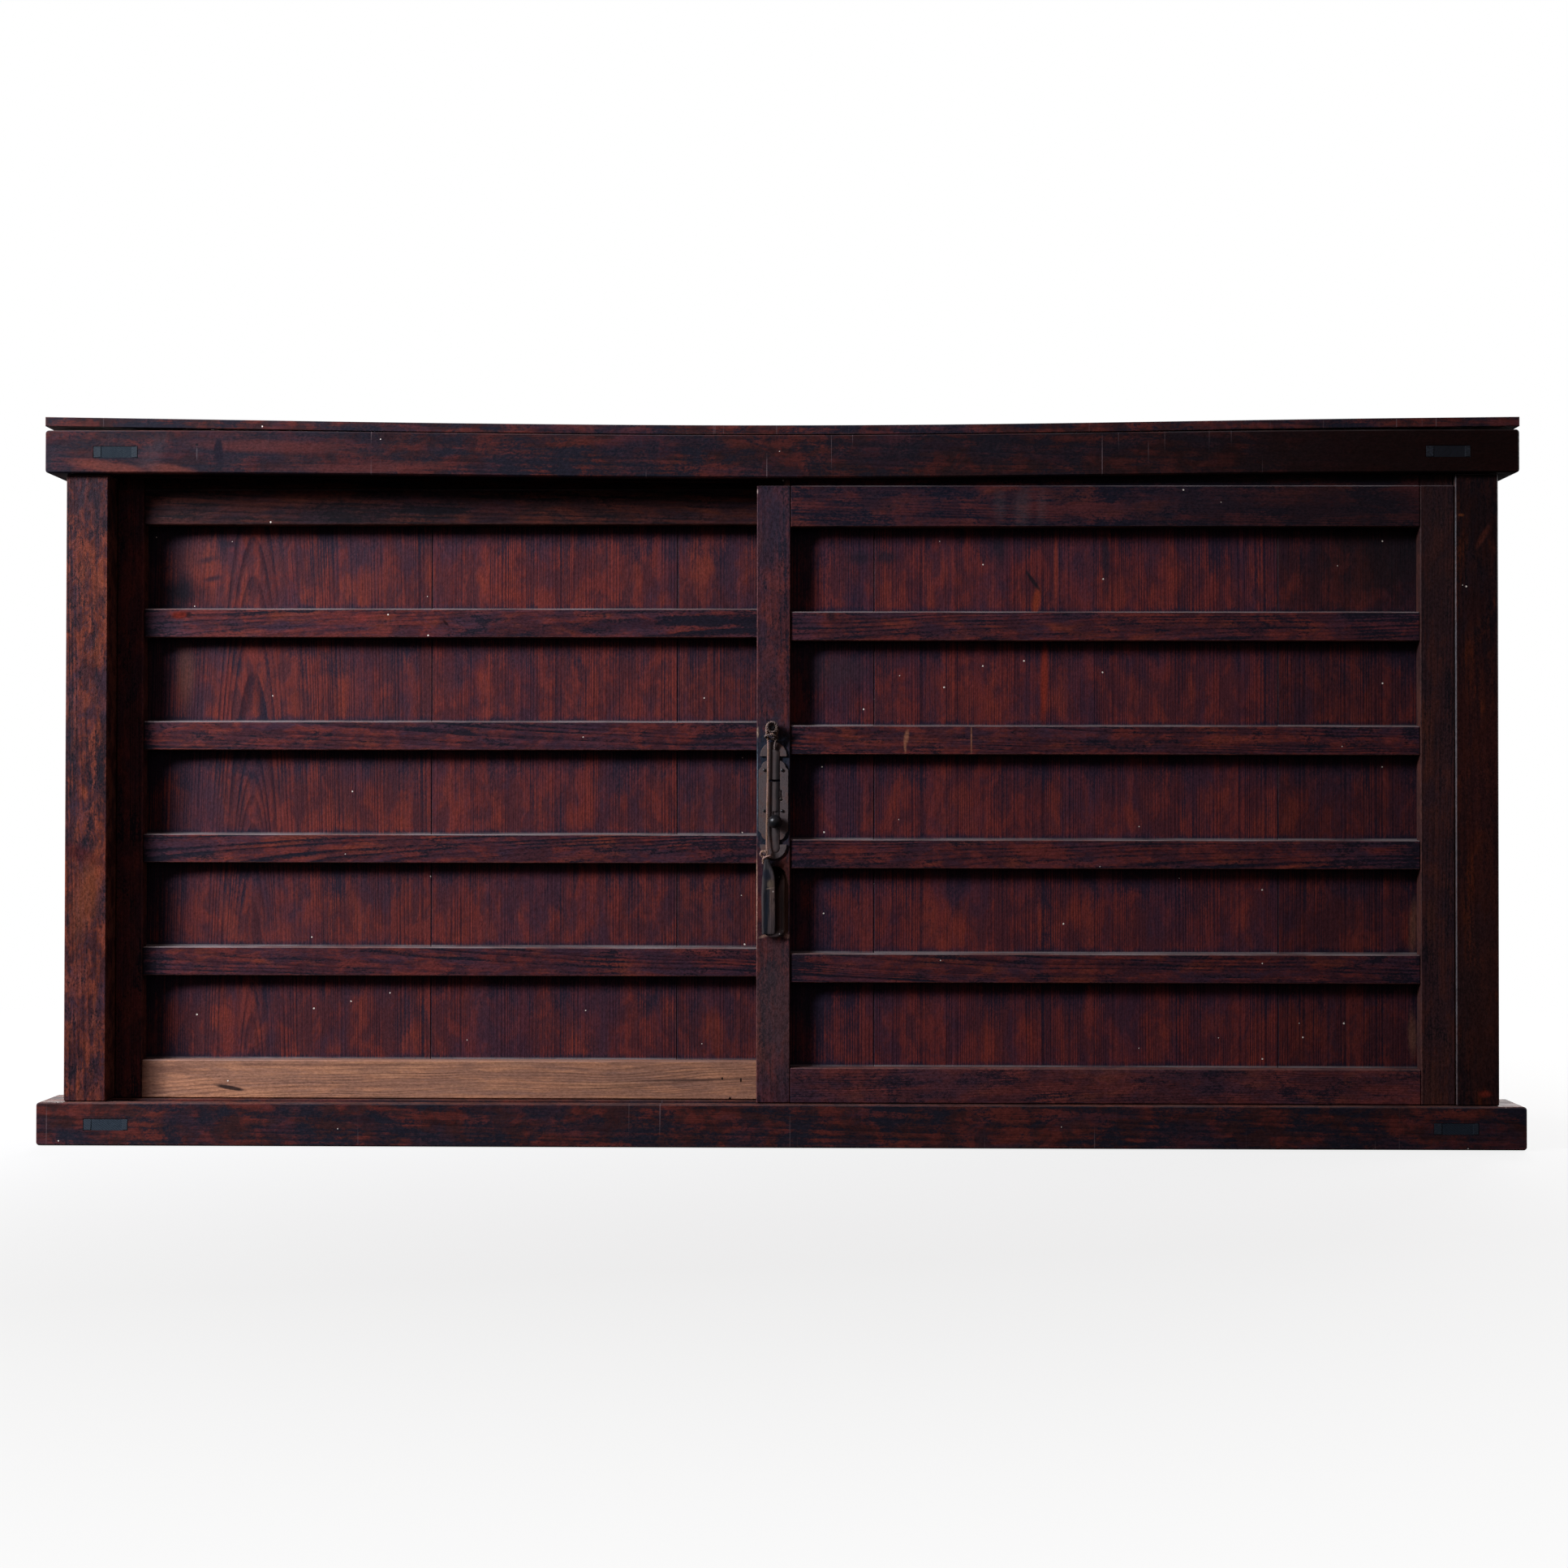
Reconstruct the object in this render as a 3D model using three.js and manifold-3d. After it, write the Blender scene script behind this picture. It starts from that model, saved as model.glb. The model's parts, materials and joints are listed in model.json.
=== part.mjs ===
// A low, wide cupboard of dark stained wood with two panelled sliding doors.
// Lengths are in millimetres. X runs along the front, Y from the front to the back, Z up.
// The pieces are laid out with Y = 0 at the front face of the long rails, and the whole
// case is moved at the end so that the origin is under the middle of its outer box.

import * as THREE from 'three';
import { ConvexGeometry } from 'three/addons/geometries/ConvexGeometry.js';
import { mergeVertices } from 'three/addons/utils/BufferGeometryUtils.js';
import Module from 'manifold-3d';

const wasm = await Module();
wasm.setup();

// Fits and cutting
const jointGap = 0.3;
const boardSeam = 0.5;
const cutOverrun = 6;

// Depth over the long rails, and the height of the opening between them
const caseDepth = 455;
const openingHeight = 749;

// Long rails, which lap over the tops and bottoms of the posts
const railHeight = 51;
const topRailLength = 1750;
const topRailPastPost = 23;
const bottomRailPastTopRail = 7;
const railBehindDoors = 5;
const rearRailDepth = 50;
const topRailSag = 6;
const railCornerRadius = 4;
const railArris = 1.6;
const sagSteps = 24;
const cornerSteps = 3;

// Corner posts with stub tenons into the long rails
const postWidth = 50.5;
const frontPostSetBack = 8;
const rearPostSetBack = 4;
const postArris = 1.4;
const postTenonWidth = 20;
const postTenonDepth = 26;
const postTenonLength = 15;

// Side rails, whose tenons run through the long rails and show on their faces
const sideRailInset = 10;
const sideRailArris = 1.2;
const throughTenonWidth = 53;
const throughTenonThickness = 13.5;
const throughTenonRecess = 0.6;
const topTenonOuterShoulder = 24.5;
const bottomTenonOuterShoulder = 16.5;
const tenonInnerShoulder = 6.5;
const topTenonClearance = 3.25;
const bottomTenonClearance = 4.25;

// Thin boards of the sides and the back, held in grooves
const boardGrooveDepth = 8;
const boardArris = 0.6;
const sideBoardThickness = 10;
const sideBoardInset = 20;
const sideBoardsPerSide = ['front', 'rear'];
const backBoardThickness = 9;
const backBoardInset = 22;
const backBoardNames = ['bottom', 'middle', 'top'];

// Floor boards on the side rails and a bearer
const floorThickness = 10;
const floorSeat = 20;
const bearerWidth = 40;
const bearerHeight = 30;
const bearerTenonWidth = 24;
const bearerTenonHeight = 14;
const bearerTenonLength = 12;

// Top boards, which follow the sag and curl up at the ends
const topBoardThickness = 11;
const topBoardLeftCurl = 4.6;
const topBoardRightCurl = 3.4;
const topBoardLeftCurlLength = 520;
const topBoardRightCurlLength = 700;
const topBoardSteps = 36;
const topBoardNames = ['front', 'rear'];

// Shelf on two cleats
const shelfUnderside = 420;
const shelfThickness = 15;
const shelfSetBack = 110;
const cleatWidth = 20;
const cleatHeight = 28;

// Doors, two alike in outer size, in two planes
const doorOverlap = 53;
const doorThickness = 27;
const doorPlaneGap = 3;
const doorEndGap = 1;
const frontDoorSetBack = 10;
const doorSillGap = 0.9;
const doorShoulderDrop = 14;
const tongueThickness = 18;
const tongueSideGap = 1;
const topGrooveDepth = 15;
const bottomGrooveDepth = 3;
const tongueTopGap = 9;
const doorArris = 1;
const frontDoorStileWidth = 40;
const rearDoorStileWidth = 32;
const battenCount = 4;
const battenHeight = 34.5;
const battenSetBack = 1.8;
const battenArris = 0.8;
const frontDoorTopRailHeight = 49;
const frontDoorBottomRailHeight = 41.5;
const rearDoorTopRailHeight = 42.5;
const rearDoorBottomRailHeight = 45.6;
const panelThickness = 6;
const panelFromDoorBack = 3;
const panelGrooveDepth = 6;
const railTenonLength = 28;
const railTenonThickness = 9;
const railTenonSetBack = 5;
const railTenonShoulder = 8;
const battenTenonLength = 8;
const battenTenonThickness = 6;
const battenTenonSetBack = 6;
const battenTenonShoulder = 7;

// Where the panel boards meet, as shares of the panel's width from the left
const frontDoorSeamShares = [0.134, 0.779];
const rearDoorSeamShares = [0.454, 0.845];

// Finger recess scooped out of the front door's meeting stile
const recessWidth = 31;
const recessDepth = 11;
const recessHeight = 85;
const recessBelowPlateCentre = 78;
const recessFromStileEdge = 7.2;
const recessFootRadius = 9;
const recessTopRadius = 22;
const recessSegments = 24;

// Iron lock plate with a low, hollow, rounded ridge
const plateCentreHeight = 411;
const plateThickness = 1.6;
const plateHalfWidth = 17.6;
const plateHalfBody = 36.2;
const plateHalfShoulder = 14.3;
const plateShoulderDrop = 3.6;
const plateNeckHalfWidth = 6.2;
const plateNeckTop = 52.4;
const plateNeckHeight = 5.2;
const plateLobeHalfWidth = 15.9;
const plateLobeHeight = 17.3;
const plateCurveSteps = 8;
const lockAxisOffset = 2.3;
const ridgeHalfWidth = 5;
const ridgeHeight = 1.1;
const ridgeWall = 1;
const ridgeHalfLength = 62;
const ridgeSegments = 16;
const slotWidth = 16.4;
const slotHeight = 2.8;
const slotAboveCentre = 23.4;
const keyholeFromAxis = 6.8;
const keyholeRingRadius = 2.7;
const keyPinRadius = 1.4;
const keyholeSlitWidth = 1.6;
const keyholeSlitTop = 12.3;
const keyholeRingHeight = 1.7;
const keyholeDepth = 1.2;

// Nails that hold the plate
const nailHeadRadius = 2;
const nailHeadHeight = 1.1;
const nailShankRadius = 0.9;
const nailHoleGap = 0.3;
const nailLength = 10;
const nailSegments = 10;
const nailHalfSpacing = 10.6;
const nailUpperHeight = 36;
const nailLowerHeight = -12.4;

// Sliding bar inside the ridge, with a ball knob
const barGap = 0.3;
const barFoot = -57;
const barTop = 20;
const knobHeight = -25;
const knobTravel = 9;
const knobRadius = 8.2;
const knobNeckRadius = 6.2;
const knobStemRadius = 2.6;
const knobRivetRadius = 1.6;
const knobRivetLength = 1;
const knobCollarRadius = 4.4;
const knobCollarThickness = 0.6;
const knobSegments = 24;
const knobSteps = 12;
const windowSideGap = 0.6;
const windowEndGap = 0.4;

// Pin that the cord hangs from
const cordPinFromStileEdge = 18.4;
const cordPinAbovePlateCentre = 86.5;
const cordPinRadius = 2.2;
const cordPinHeadRadius = 3.4;
const cordPinHeadThickness = 1.4;
const cordPinReach = 9.4;
const cordPinLength = 14;
const cordPinSegments = 12;

// Twisted cord, hung from the pin, and the wooden peg on it
const cordDiameter = 3;
const cordSides = 8;
const cordSteps = 60;
const pegLength = 90;
const pegWidth = 16.5;
const pegThickness = 8;
const pegTopBelowPin = 155.5;
const pegLeftOfPin = 3.9;
const pegReach = 6.5;
const pegNeckWidth = 7;
const pegNeckLength = 18;
const pegNeckOffset = 1.6;
const pegArris = 1;

// The cord's route, from the pin's axis and the door's face: twice round the pin, down
// beside the ridge and onto the top of the peg
const cordRoute = [
  [3.4, -2.4, -12.0],
  [5.3, -2.4, -7.0],
  [6.1, -2.4, -1.8],
  [4.3, -2.4, 2.5],
  [0.2, -2.4, 4.2],
  [-3.9, -2.5, 2.5],
  [-5.6, -2.6, -1.7],
  [-4.0, -3.2, -5.9],
  [0.2, -4.4, -7.4],
  [4.3, -5.5, -5.0],
  [6.1, -6.0, 0.2],
  [4.2, -6.0, 4.5],
  [-0.2, -6.0, 6.3],
  [-4.6, -6.0, 4.6],
  [-6.6, -6.0, 0.0],
  [-6.5, -5.6, -6.5],
  [-5.3, -4.7, -13.0],
  [-4.6, -4.3, -21.0],
  [-4.5, -4.2, -33.0],
  [-4.7, -4.2, -47.0],
  [-4.9, -4.2, -61.0],
  [-5.2, -4.2, -75.0],
  [-5.4, -4.2, -89.0],
  [-5.6, -4.3, -103.0],
  [-5.9, -4.4, -117.0],
  [-6.0, -4.8, -130.0],
  [-5.9, -5.6, -141.0],
  [-5.7, -6.3, -149.0],
  [-5.5, -6.5, -155.2],
];

// Heights and places worked out from the sizes above
const openingWidth = topRailLength - 2 * (topRailPastPost + postWidth);
const bottomRailLength = topRailLength + 2 * bottomRailPastTopRail;
const openingHalf = openingWidth / 2;
const openingTop = railHeight + openingHeight;
const caseTop = openingTop + railHeight;
const postOuter = openingHalf + postWidth;
const sideRailOuter = postOuter - sideRailInset;
const sideRailWidth = topTenonOuterShoulder + throughTenonWidth + tenonInnerShoulder;
const sideRailInner = sideRailOuter - sideRailWidth;
const rearRailFace = caseDepth - rearRailDepth;
const sideBoardOuter = postOuter - sideBoardInset;
const sideBoardInner = sideBoardOuter - sideBoardThickness;
const backBoardRear = caseDepth - backBoardInset;
const backBoardFront = backBoardRear - backBoardThickness;
const doorBottom = railHeight - bottomGrooveDepth + jointGap;
const doorFoot = railHeight + doorSillGap;
const doorShoulder = openingTop - doorShoulderDrop;
const doorTop = openingTop + topGrooveDepth - tongueTopGap;
const tongueSetBack = (doorThickness - tongueThickness) / 2;
const panelSetBack = doorThickness - panelFromDoorBack - panelThickness;
const doorPitch = doorThickness + doorPlaneGap;
const frontRailDepth = frontDoorSetBack + doorPitch + doorThickness + railBehindDoors;
const doorWidth = (openingWidth + doorOverlap) / 2 - doorEndGap;
const frontDoorLeft = openingHalf - doorEndGap - doorWidth;
const rearDoorLeft = doorEndGap - openingHalf;
const stileCentre = frontDoorLeft + frontDoorStileWidth / 2;
const recessTop = plateCentreHeight - recessBelowPlateCentre;
const recessFoot = recessTop - recessHeight;
const pinX = frontDoorLeft + cordPinFromStileEdge;
const cordPinHeight = plateCentreHeight + cordPinAbovePlateCentre;
const pegTop = cordPinHeight - pegTopBelowPin;
const plateFront = -(jointGap + plateThickness);
const ridgeFront = plateFront - ridgeHeight;
const knobNeckReach = Math.sqrt(knobRadius ** 2 - knobNeckRadius ** 2);
const knobCentre = ridgeFront - jointGap - knobCollarThickness - knobNeckReach;
const knobFront = frontDoorSetBack + knobCentre - knobRadius;

// Colours of the woods, the iron and the cord
function finish(color, roughness, metalness = 0) {
  return new THREE.MeshStandardMaterial({ color, roughness, metalness, flatShading: true });
}
const frameWood = finish('#3a1c16', 0.5);
const doorWood = finish('#4a211b', 0.5);
const panelWood = finish('#55251e', 0.55);
const rawWood = finish('#a8744f', 0.75);
const hiddenWood = finish('#6b5140', 0.85);
const plateIron = finish('#4b4240', 0.6, 0.8);
const knobIron = finish('#2c2a2b', 0.35, 0.9);
const cordFibre = finish('#6f5642', 0.95);
const pegWood = finish('#45454c', 0.85);

// A closed three.js geometry as a solid that can be cut and joined
function solidOf(geometry) {
  const bare = geometry.clone();
  bare.deleteAttribute('normal');
  bare.deleteAttribute('uv');
  const merged = mergeVertices(bare);
  const vertProperties = new Float32Array(merged.attributes.position.array);
  const triVerts = new Uint32Array(merged.index.array);
  return new wasm.Manifold(new wasm.Mesh({ numProp: 3, vertProperties, triVerts }));
}

// The solid's surface as a three.js geometry
function geometryOf(solid) {
  const mesh = solid.getMesh();
  const geometry = new THREE.BufferGeometry();
  geometry.setAttribute('position', new THREE.BufferAttribute(mesh.vertProperties, 3));
  geometry.setIndex(new THREE.BufferAttribute(mesh.triVerts, 1));
  geometry.computeVertexNormals();
  return geometry;
}

function addPiece(group, name, solid, material) {
  const mesh = new THREE.Mesh(geometryOf(solid), material);
  mesh.name = name;
  group.add(mesh);
}

// A low and a high value, whichever order they come in
function range(a, b) {
  return [Math.min(a, b), Math.max(a, b)];
}

// A range round a middle value
function about(middle, size) {
  return [middle - size / 2, middle + size / 2];
}

// A range made wider by a gap at both ends
function widened(ends, gap) {
  return [ends[0] - gap, ends[1] + gap];
}

// A square-edged block between ranges of x, y and z
function block(x, y, z) {
  const geometry = new THREE.BoxGeometry(x[1] - x[0], y[1] - y[0], z[1] - z[0]);
  geometry.translate((x[0] + x[1]) / 2, (y[0] + y[1]) / 2, (z[0] + z[1]) / 2);
  return solidOf(geometry);
}

// A block whose twelve edges are planed off at 45 degrees
function timber(x, y, z, arris) {
  const points = [];
  for (const i of [0, 1]) {
    for (const j of [0, 1]) {
      for (const k of [0, 1]) {
        const inX = i ? -arris : arris;
        const inY = j ? -arris : arris;
        const inZ = k ? -arris : arris;
        points.push(new THREE.Vector3(x[i], y[j] + inY, z[k] + inZ));
        points.push(new THREE.Vector3(x[i] + inX, y[j], z[k] + inZ));
        points.push(new THREE.Vector3(x[i] + inX, y[j] + inY, z[k]));
      }
    }
  }
  return solidOf(new ConvexGeometry(points));
}

// An outline drawn in x and z, carried back along y, with its face edges planed off
function carriedBack(outline, y, arris, steps) {
  const geometry = new THREE.ExtrudeGeometry(outline, {
    depth: y[1] - y[0] - 2 * arris,
    bevelEnabled: arris > 0,
    bevelThickness: arris,
    bevelSize: arris,
    bevelOffset: -arris,
    bevelSegments: 1,
    curveSegments: steps,
  });
  geometry.rotateX(Math.PI / 2);
  geometry.translate(0, y[1] - arris, 0);
  return solidOf(geometry);
}

// A round rod along y
function rodAlongY(radius, x, y, z, segments) {
  const geometry = new THREE.CylinderGeometry(radius, radius, y[1] - y[0], segments);
  geometry.translate(x, (y[0] + y[1]) / 2, z);
  return solidOf(geometry);
}

// How far a long top rail hangs below its ends: level over the posts, lowest in the middle
function sagAt(x) {
  if (Math.abs(x) >= openingHalf) return 0;
  return topRailSag * (1 + Math.cos((Math.PI * x) / openingHalf)) / 2;
}

// A long rail seen from the front, with rounded corners, its foot at z
function railOutline(length, foot, sagShare) {
  const half = length / 2;
  const r = railCornerRadius;
  const top = foot + railHeight;
  const outline = new THREE.Shape();
  const sagLine = [];
  for (let i = 0; i <= sagSteps; i += 1) {
    const x = openingHalf * (2 * i / sagSteps - 1);
    sagLine.push([x, sagAt(x) * sagShare]);
  }
  outline.moveTo(r - half, foot);
  if (sagShare > 0) sagLine.forEach(([x, sag]) => outline.lineTo(x, foot - sag));
  outline.lineTo(half - r, foot);
  outline.absarc(half - r, foot + r, r, -Math.PI / 2, 0, false);
  outline.absarc(half - r, top - r, r, 0, Math.PI / 2, false);
  if (sagShare > 0) sagLine.reverse().forEach(([x, sag]) => outline.lineTo(x, top - sag));
  outline.absarc(r - half, top - r, r, Math.PI / 2, Math.PI, false);
  outline.absarc(r - half, foot + r, r, Math.PI, 1.5 * Math.PI, false);
  return outline;
}

const root = new THREE.Group();
const frontDoor = new THREE.Group();
const rearDoor = new THREE.Group();
const lockBolt = new THREE.Group();
root.add(frontDoor, rearDoor);
frontDoor.add(lockBolt);

// Post tenons, and the mortises that take them

const frontPostY = [frontPostSetBack, frontRailDepth];
const rearPostY = [rearRailFace, caseDepth - rearPostSetBack];

function postX(side) {
  return range(side * openingHalf, side * postOuter);
}

function postTenon(side, y, gap) {
  const middleX = side * (openingHalf + postWidth / 2);
  const middleY = (y[0] + y[1]) / 2;
  const z = [railHeight - postTenonLength, openingTop + postTenonLength];
  return block(
    widened(about(middleX, postTenonWidth), gap),
    widened(about(middleY, postTenonDepth), gap),
    widened(z, gap),
  );
}

// Tenons of the side rails, right through the long rails

function throughTenon(side, atTop, gap) {
  const outer = sideRailOuter - (atTop ? topTenonOuterShoulder : bottomTenonOuterShoulder);
  const nearZ = atTop
    ? openingTop + postTenonLength + topTenonClearance
    : railHeight - postTenonLength - bottomTenonClearance;
  const farZ = nearZ + (atTop ? throughTenonThickness : -throughTenonThickness);
  const y = [throughTenonRecess, caseDepth - throughTenonRecess];
  return block(
    widened(range(side * (outer - throughTenonWidth), side * outer), gap),
    widened(y, gap > 0 ? cutOverrun : 0),
    widened(range(nearZ, farZ), gap),
  );
}

// Bearers under the floor boards and the top boards

const floorUnderside = railHeight - floorThickness;
const bearerTops = { floor: floorUnderside - jointGap, top: caseTop - topRailSag - jointGap };

function bearerTenon(kind, gap) {
  const middleZ = bearerTops[kind] - bearerHeight / 2;
  const y = [frontRailDepth - bearerTenonLength, rearRailFace + bearerTenonLength];
  return block(
    widened(about(0, bearerTenonWidth), gap),
    widened(y, gap),
    widened(about(middleZ, bearerTenonHeight), gap),
  );
}

function bearer(kind) {
  const body = timber(
    about(0, bearerWidth),
    widened([frontRailDepth, rearRailFace], -jointGap),
    [bearerTops[kind] - bearerHeight, bearerTops[kind]],
    sideRailArris,
  );
  return body.add(bearerTenon(kind, 0));
}

// Long rails of the front and the back

function doorGroove(plane, z) {
  const front = frontDoorSetBack + plane * doorPitch + tongueSetBack;
  const y = widened([front, front + tongueThickness], tongueSideGap);
  return block(about(0, openingWidth), y, z);
}

function backBoardGroove(z) {
  const x = about(0, openingWidth + 2 * boardGrooveDepth);
  return block(x, widened([backBoardFront, backBoardRear], jointGap), z);
}

const topGrooveZ = [openingTop - topRailSag - cutOverrun, openingTop + topGrooveDepth];
const bottomGrooveZ = [railHeight - bottomGrooveDepth, railHeight + cutOverrun];
const topBackGrooveZ = [topGrooveZ[0], openingTop + boardGrooveDepth];
const bottomBackGrooveZ = [railHeight - boardGrooveDepth, bottomGrooveZ[1]];

function longRail(atFront, atTop) {
  const length = atTop ? topRailLength : bottomRailLength;
  const y = atFront ? [0, frontRailDepth] : [rearRailFace, caseDepth];
  const outline = railOutline(length, atTop ? openingTop : 0, atTop ? 1 : 0);
  let rail = carriedBack(outline, y, railArris, cornerSteps);
  for (const side of [-1, 1]) {
    rail = rail.subtract(postTenon(side, atFront ? frontPostY : rearPostY, jointGap));
    rail = rail.subtract(throughTenon(side, atTop, jointGap));
  }
  rail = rail.subtract(bearerTenon(atTop ? 'top' : 'floor', jointGap));
  if (!atFront) return rail.subtract(backBoardGroove(atTop ? topBackGrooveZ : bottomBackGrooveZ));
  const grooveZ = atTop ? topGrooveZ : bottomGrooveZ;
  return rail.subtract(doorGroove(0, grooveZ)).subtract(doorGroove(1, grooveZ));
}

addPiece(root, 'front_top_rail', longRail(true, true), frameWood);
addPiece(root, 'front_bottom_rail', longRail(true, false), frameWood);
addPiece(root, 'rear_top_rail', longRail(false, true), frameWood);
addPiece(root, 'rear_bottom_rail', longRail(false, false), frameWood);
addPiece(root, 'floor_bearer', bearer('floor'), hiddenWood);
addPiece(root, 'top_bearer', bearer('top'), hiddenWood);

// Posts, side rails and side boards, alike on the left and the right

const sideBoardRunY = [frontRailDepth - boardGrooveDepth, rearRailFace + boardGrooveDepth];
const sideBoardRunZ = [railHeight - boardGrooveDepth, openingTop + boardGrooveDepth];

function sideBoardSpace(side, gap) {
  return block(
    widened(range(side * sideBoardInner, side * sideBoardOuter), gap),
    sideBoardRunY,
    sideBoardRunZ,
  );
}

function post(side, atFront) {
  const y = atFront ? frontPostY : rearPostY;
  const z = widened([railHeight, openingTop], -jointGap);
  const body = timber(postX(side), y, z, postArris);
  let whole = body.add(postTenon(side, y, 0));
  whole = whole.subtract(sideBoardSpace(side, jointGap));
  if (atFront) return whole;
  return whole.subtract(backBoardGroove(widened(z, cutOverrun)));
}

function sideRail(side, atTop) {
  const x = range(side * sideRailInner, side * sideRailOuter);
  const y = widened([frontRailDepth, rearRailFace], -jointGap);
  const z = atTop ? [openingTop, caseTop] : [0, railHeight];
  const rail = timber(x, y, z, sideRailArris).add(throughTenon(side, atTop, 0));
  const grooved = rail.subtract(sideBoardSpace(side, jointGap));
  if (atTop) return grooved;
  const seatX = range(side * (sideRailInner - cutOverrun), side * (sideRailInner + floorSeat));
  return grooved.subtract(block(
    seatX,
    widened(y, cutOverrun),
    [floorUnderside - jointGap, railHeight + cutOverrun],
  ).subtract(throughTenon(side, atTop, 0)));
}

// The boards end in the posts' grooves and are notched round the long rails' corners
function sideBoard(side, index) {
  const count = sideBoardsPerSide.length;
  const run = widened(sideBoardRunY, -jointGap);
  const step = (run[1] - run[0]) / count;
  const y = [
    run[0] + step * index + (index > 0 ? boardSeam / 2 : 0),
    run[0] + step * (index + 1) - (index < count - 1 ? boardSeam / 2 : 0),
  ];
  const x = range(side * sideBoardInner, side * sideBoardOuter);
  let board = timber(x, y, widened(sideBoardRunZ, -jointGap), boardArris);
  const notchX = widened(x, cutOverrun);
  for (const notchY of [[-cutOverrun, frontRailDepth + jointGap],
    [rearRailFace - jointGap, caseDepth + cutOverrun]]) {
    board = board.subtract(block(notchX, notchY, [-cutOverrun, railHeight + jointGap]));
    board = board.subtract(block(notchX, notchY, [openingTop - jointGap, caseTop + cutOverrun]));
  }
  return board;
}

for (const [side, hand] of [[-1, 'left'], [1, 'right']]) {
  addPiece(root, `front_${hand}_post`, post(side, true), frameWood);
  addPiece(root, `rear_${hand}_post`, post(side, false), frameWood);
  addPiece(root, `${hand}_top_side_rail`, sideRail(side, true), frameWood);
  addPiece(root, `${hand}_bottom_side_rail`, sideRail(side, false), frameWood);
  sideBoardsPerSide.forEach((place, index) => {
    addPiece(root, `${hand}_side_board_${place}`, sideBoard(side, index), panelWood);
  });
}

// Back boards, one above another in the grooves of the rear posts and rails

const backRunX = about(0, openingWidth + 2 * boardGrooveDepth - 2 * jointGap);
const backRunZ = widened(sideBoardRunZ, -jointGap);

backBoardNames.forEach((place, index) => {
  const count = backBoardNames.length;
  const step = (backRunZ[1] - backRunZ[0]) / count;
  const z = [
    backRunZ[0] + step * index + (index > 0 ? boardSeam / 2 : 0),
    backRunZ[0] + step * (index + 1) - (index < count - 1 ? boardSeam / 2 : 0),
  ];
  const board = timber(backRunX, [backBoardFront, backBoardRear], z, boardArris);
  addPiece(root, `back_board_${place}`, board, hiddenWood);
});

// Floor boards, side by side, with their ends seated on the side rails

const floorRunY = widened([frontRailDepth, rearRailFace], -jointGap);
const floorX = about(0, 2 * (sideRailInner + floorSeat - jointGap));

['front', 'rear'].forEach((place, index) => {
  const middle = (floorRunY[0] + floorRunY[1]) / 2;
  const y = index === 0
    ? [floorRunY[0], middle - boardSeam / 2]
    : [middle + boardSeam / 2, floorRunY[1]];
  const board = timber(floorX, y, [floorUnderside, railHeight], boardArris);
  addPiece(root, `floor_board_${place}`, board, hiddenWood);
});

// Top boards: bent to the rails' sag, with both ends curling up

function curlAt(x) {
  const half = topRailLength / 2;
  const left = Math.max(0, 1 - (half + x) / topBoardLeftCurlLength);
  const right = Math.max(0, 1 - (half - x) / topBoardRightCurlLength);
  return topBoardLeftCurl * left ** 2 + topBoardRightCurl * right ** 2;
}

function topBoardOutline() {
  const half = topRailLength / 2;
  const line = [];
  for (let i = 0; i <= topBoardSteps; i += 1) {
    const x = half * (2 * i / topBoardSteps - 1);
    line.push([x, caseTop + jointGap - sagAt(x) + curlAt(x)]);
  }
  const outline = new THREE.Shape();
  line.forEach(([x, z], i) => (i === 0 ? outline.moveTo(x, z) : outline.lineTo(x, z)));
  line.reverse().forEach(([x, z]) => outline.lineTo(x, z + topBoardThickness));
  return outline;
}

topBoardNames.forEach((place, index) => {
  const middle = caseDepth / 2;
  const y = index === 0 ? [0, middle - boardSeam / 2] : [middle + boardSeam / 2, caseDepth];
  const board = carriedBack(topBoardOutline(), y, boardArris, 1);
  addPiece(root, `top_board_${place}`, board, frameWood);
});

// Shelf, notched round the rear posts, and its cleats on the side boards

function shelf() {
  const half = sideBoardInner - jointGap;
  const y = [shelfSetBack, backBoardFront - jointGap];
  const z = [shelfUnderside, shelfUnderside + shelfThickness];
  let board = timber([-half, half], y, z, boardArris);
  for (const side of [-1, 1]) {
    const notchX = widened(postX(side), jointGap);
    board = board.subtract(block(notchX, widened(rearPostY, jointGap), widened(z, cutOverrun)));
  }
  return board;
}

addPiece(root, 'shelf_board', shelf(), hiddenWood);
for (const [side, hand] of [[-1, 'left'], [1, 'right']]) {
  const outer = sideBoardInner - jointGap;
  const cleat = timber(
    range(side * (outer - cleatWidth), side * outer),
    [shelfSetBack, rearRailFace - jointGap],
    [shelfUnderside - jointGap - cleatHeight, shelfUnderside - jointGap],
    boardArris,
  );
  addPiece(root, `${hand}_shelf_cleat`, cleat, hiddenWood);
}

// Doors: two stiles, two rails, four battens in front of a panel of three boards.
// A tongue along the top and the foot runs in the grooves of the case.

const panelY = [panelSetBack, panelSetBack + panelThickness];
const panelGrooveY = widened(panelY, jointGap);

function tongue(x, z) {
  return block(x, [tongueSetBack, tongueSetBack + tongueThickness], z);
}

// Heights of a door's rails and battens
function doorLevels(topRailHeight, bottomRailHeight) {
  const topRailFoot = doorShoulder - topRailHeight;
  const bottomRailTop = doorFoot + bottomRailHeight;
  const open = topRailFoot - bottomRailTop - battenCount * battenHeight;
  const space = open / (battenCount + 1);
  const battens = [];
  for (let i = 0; i < battenCount; i += 1) {
    const top = topRailFoot - space * (i + 1) - battenHeight * i;
    battens.push([top - battenHeight, top]);
  }
  return { topRail: [topRailFoot, doorShoulder], bottomRail: [doorFoot, bottomRailTop], battens };
}

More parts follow.
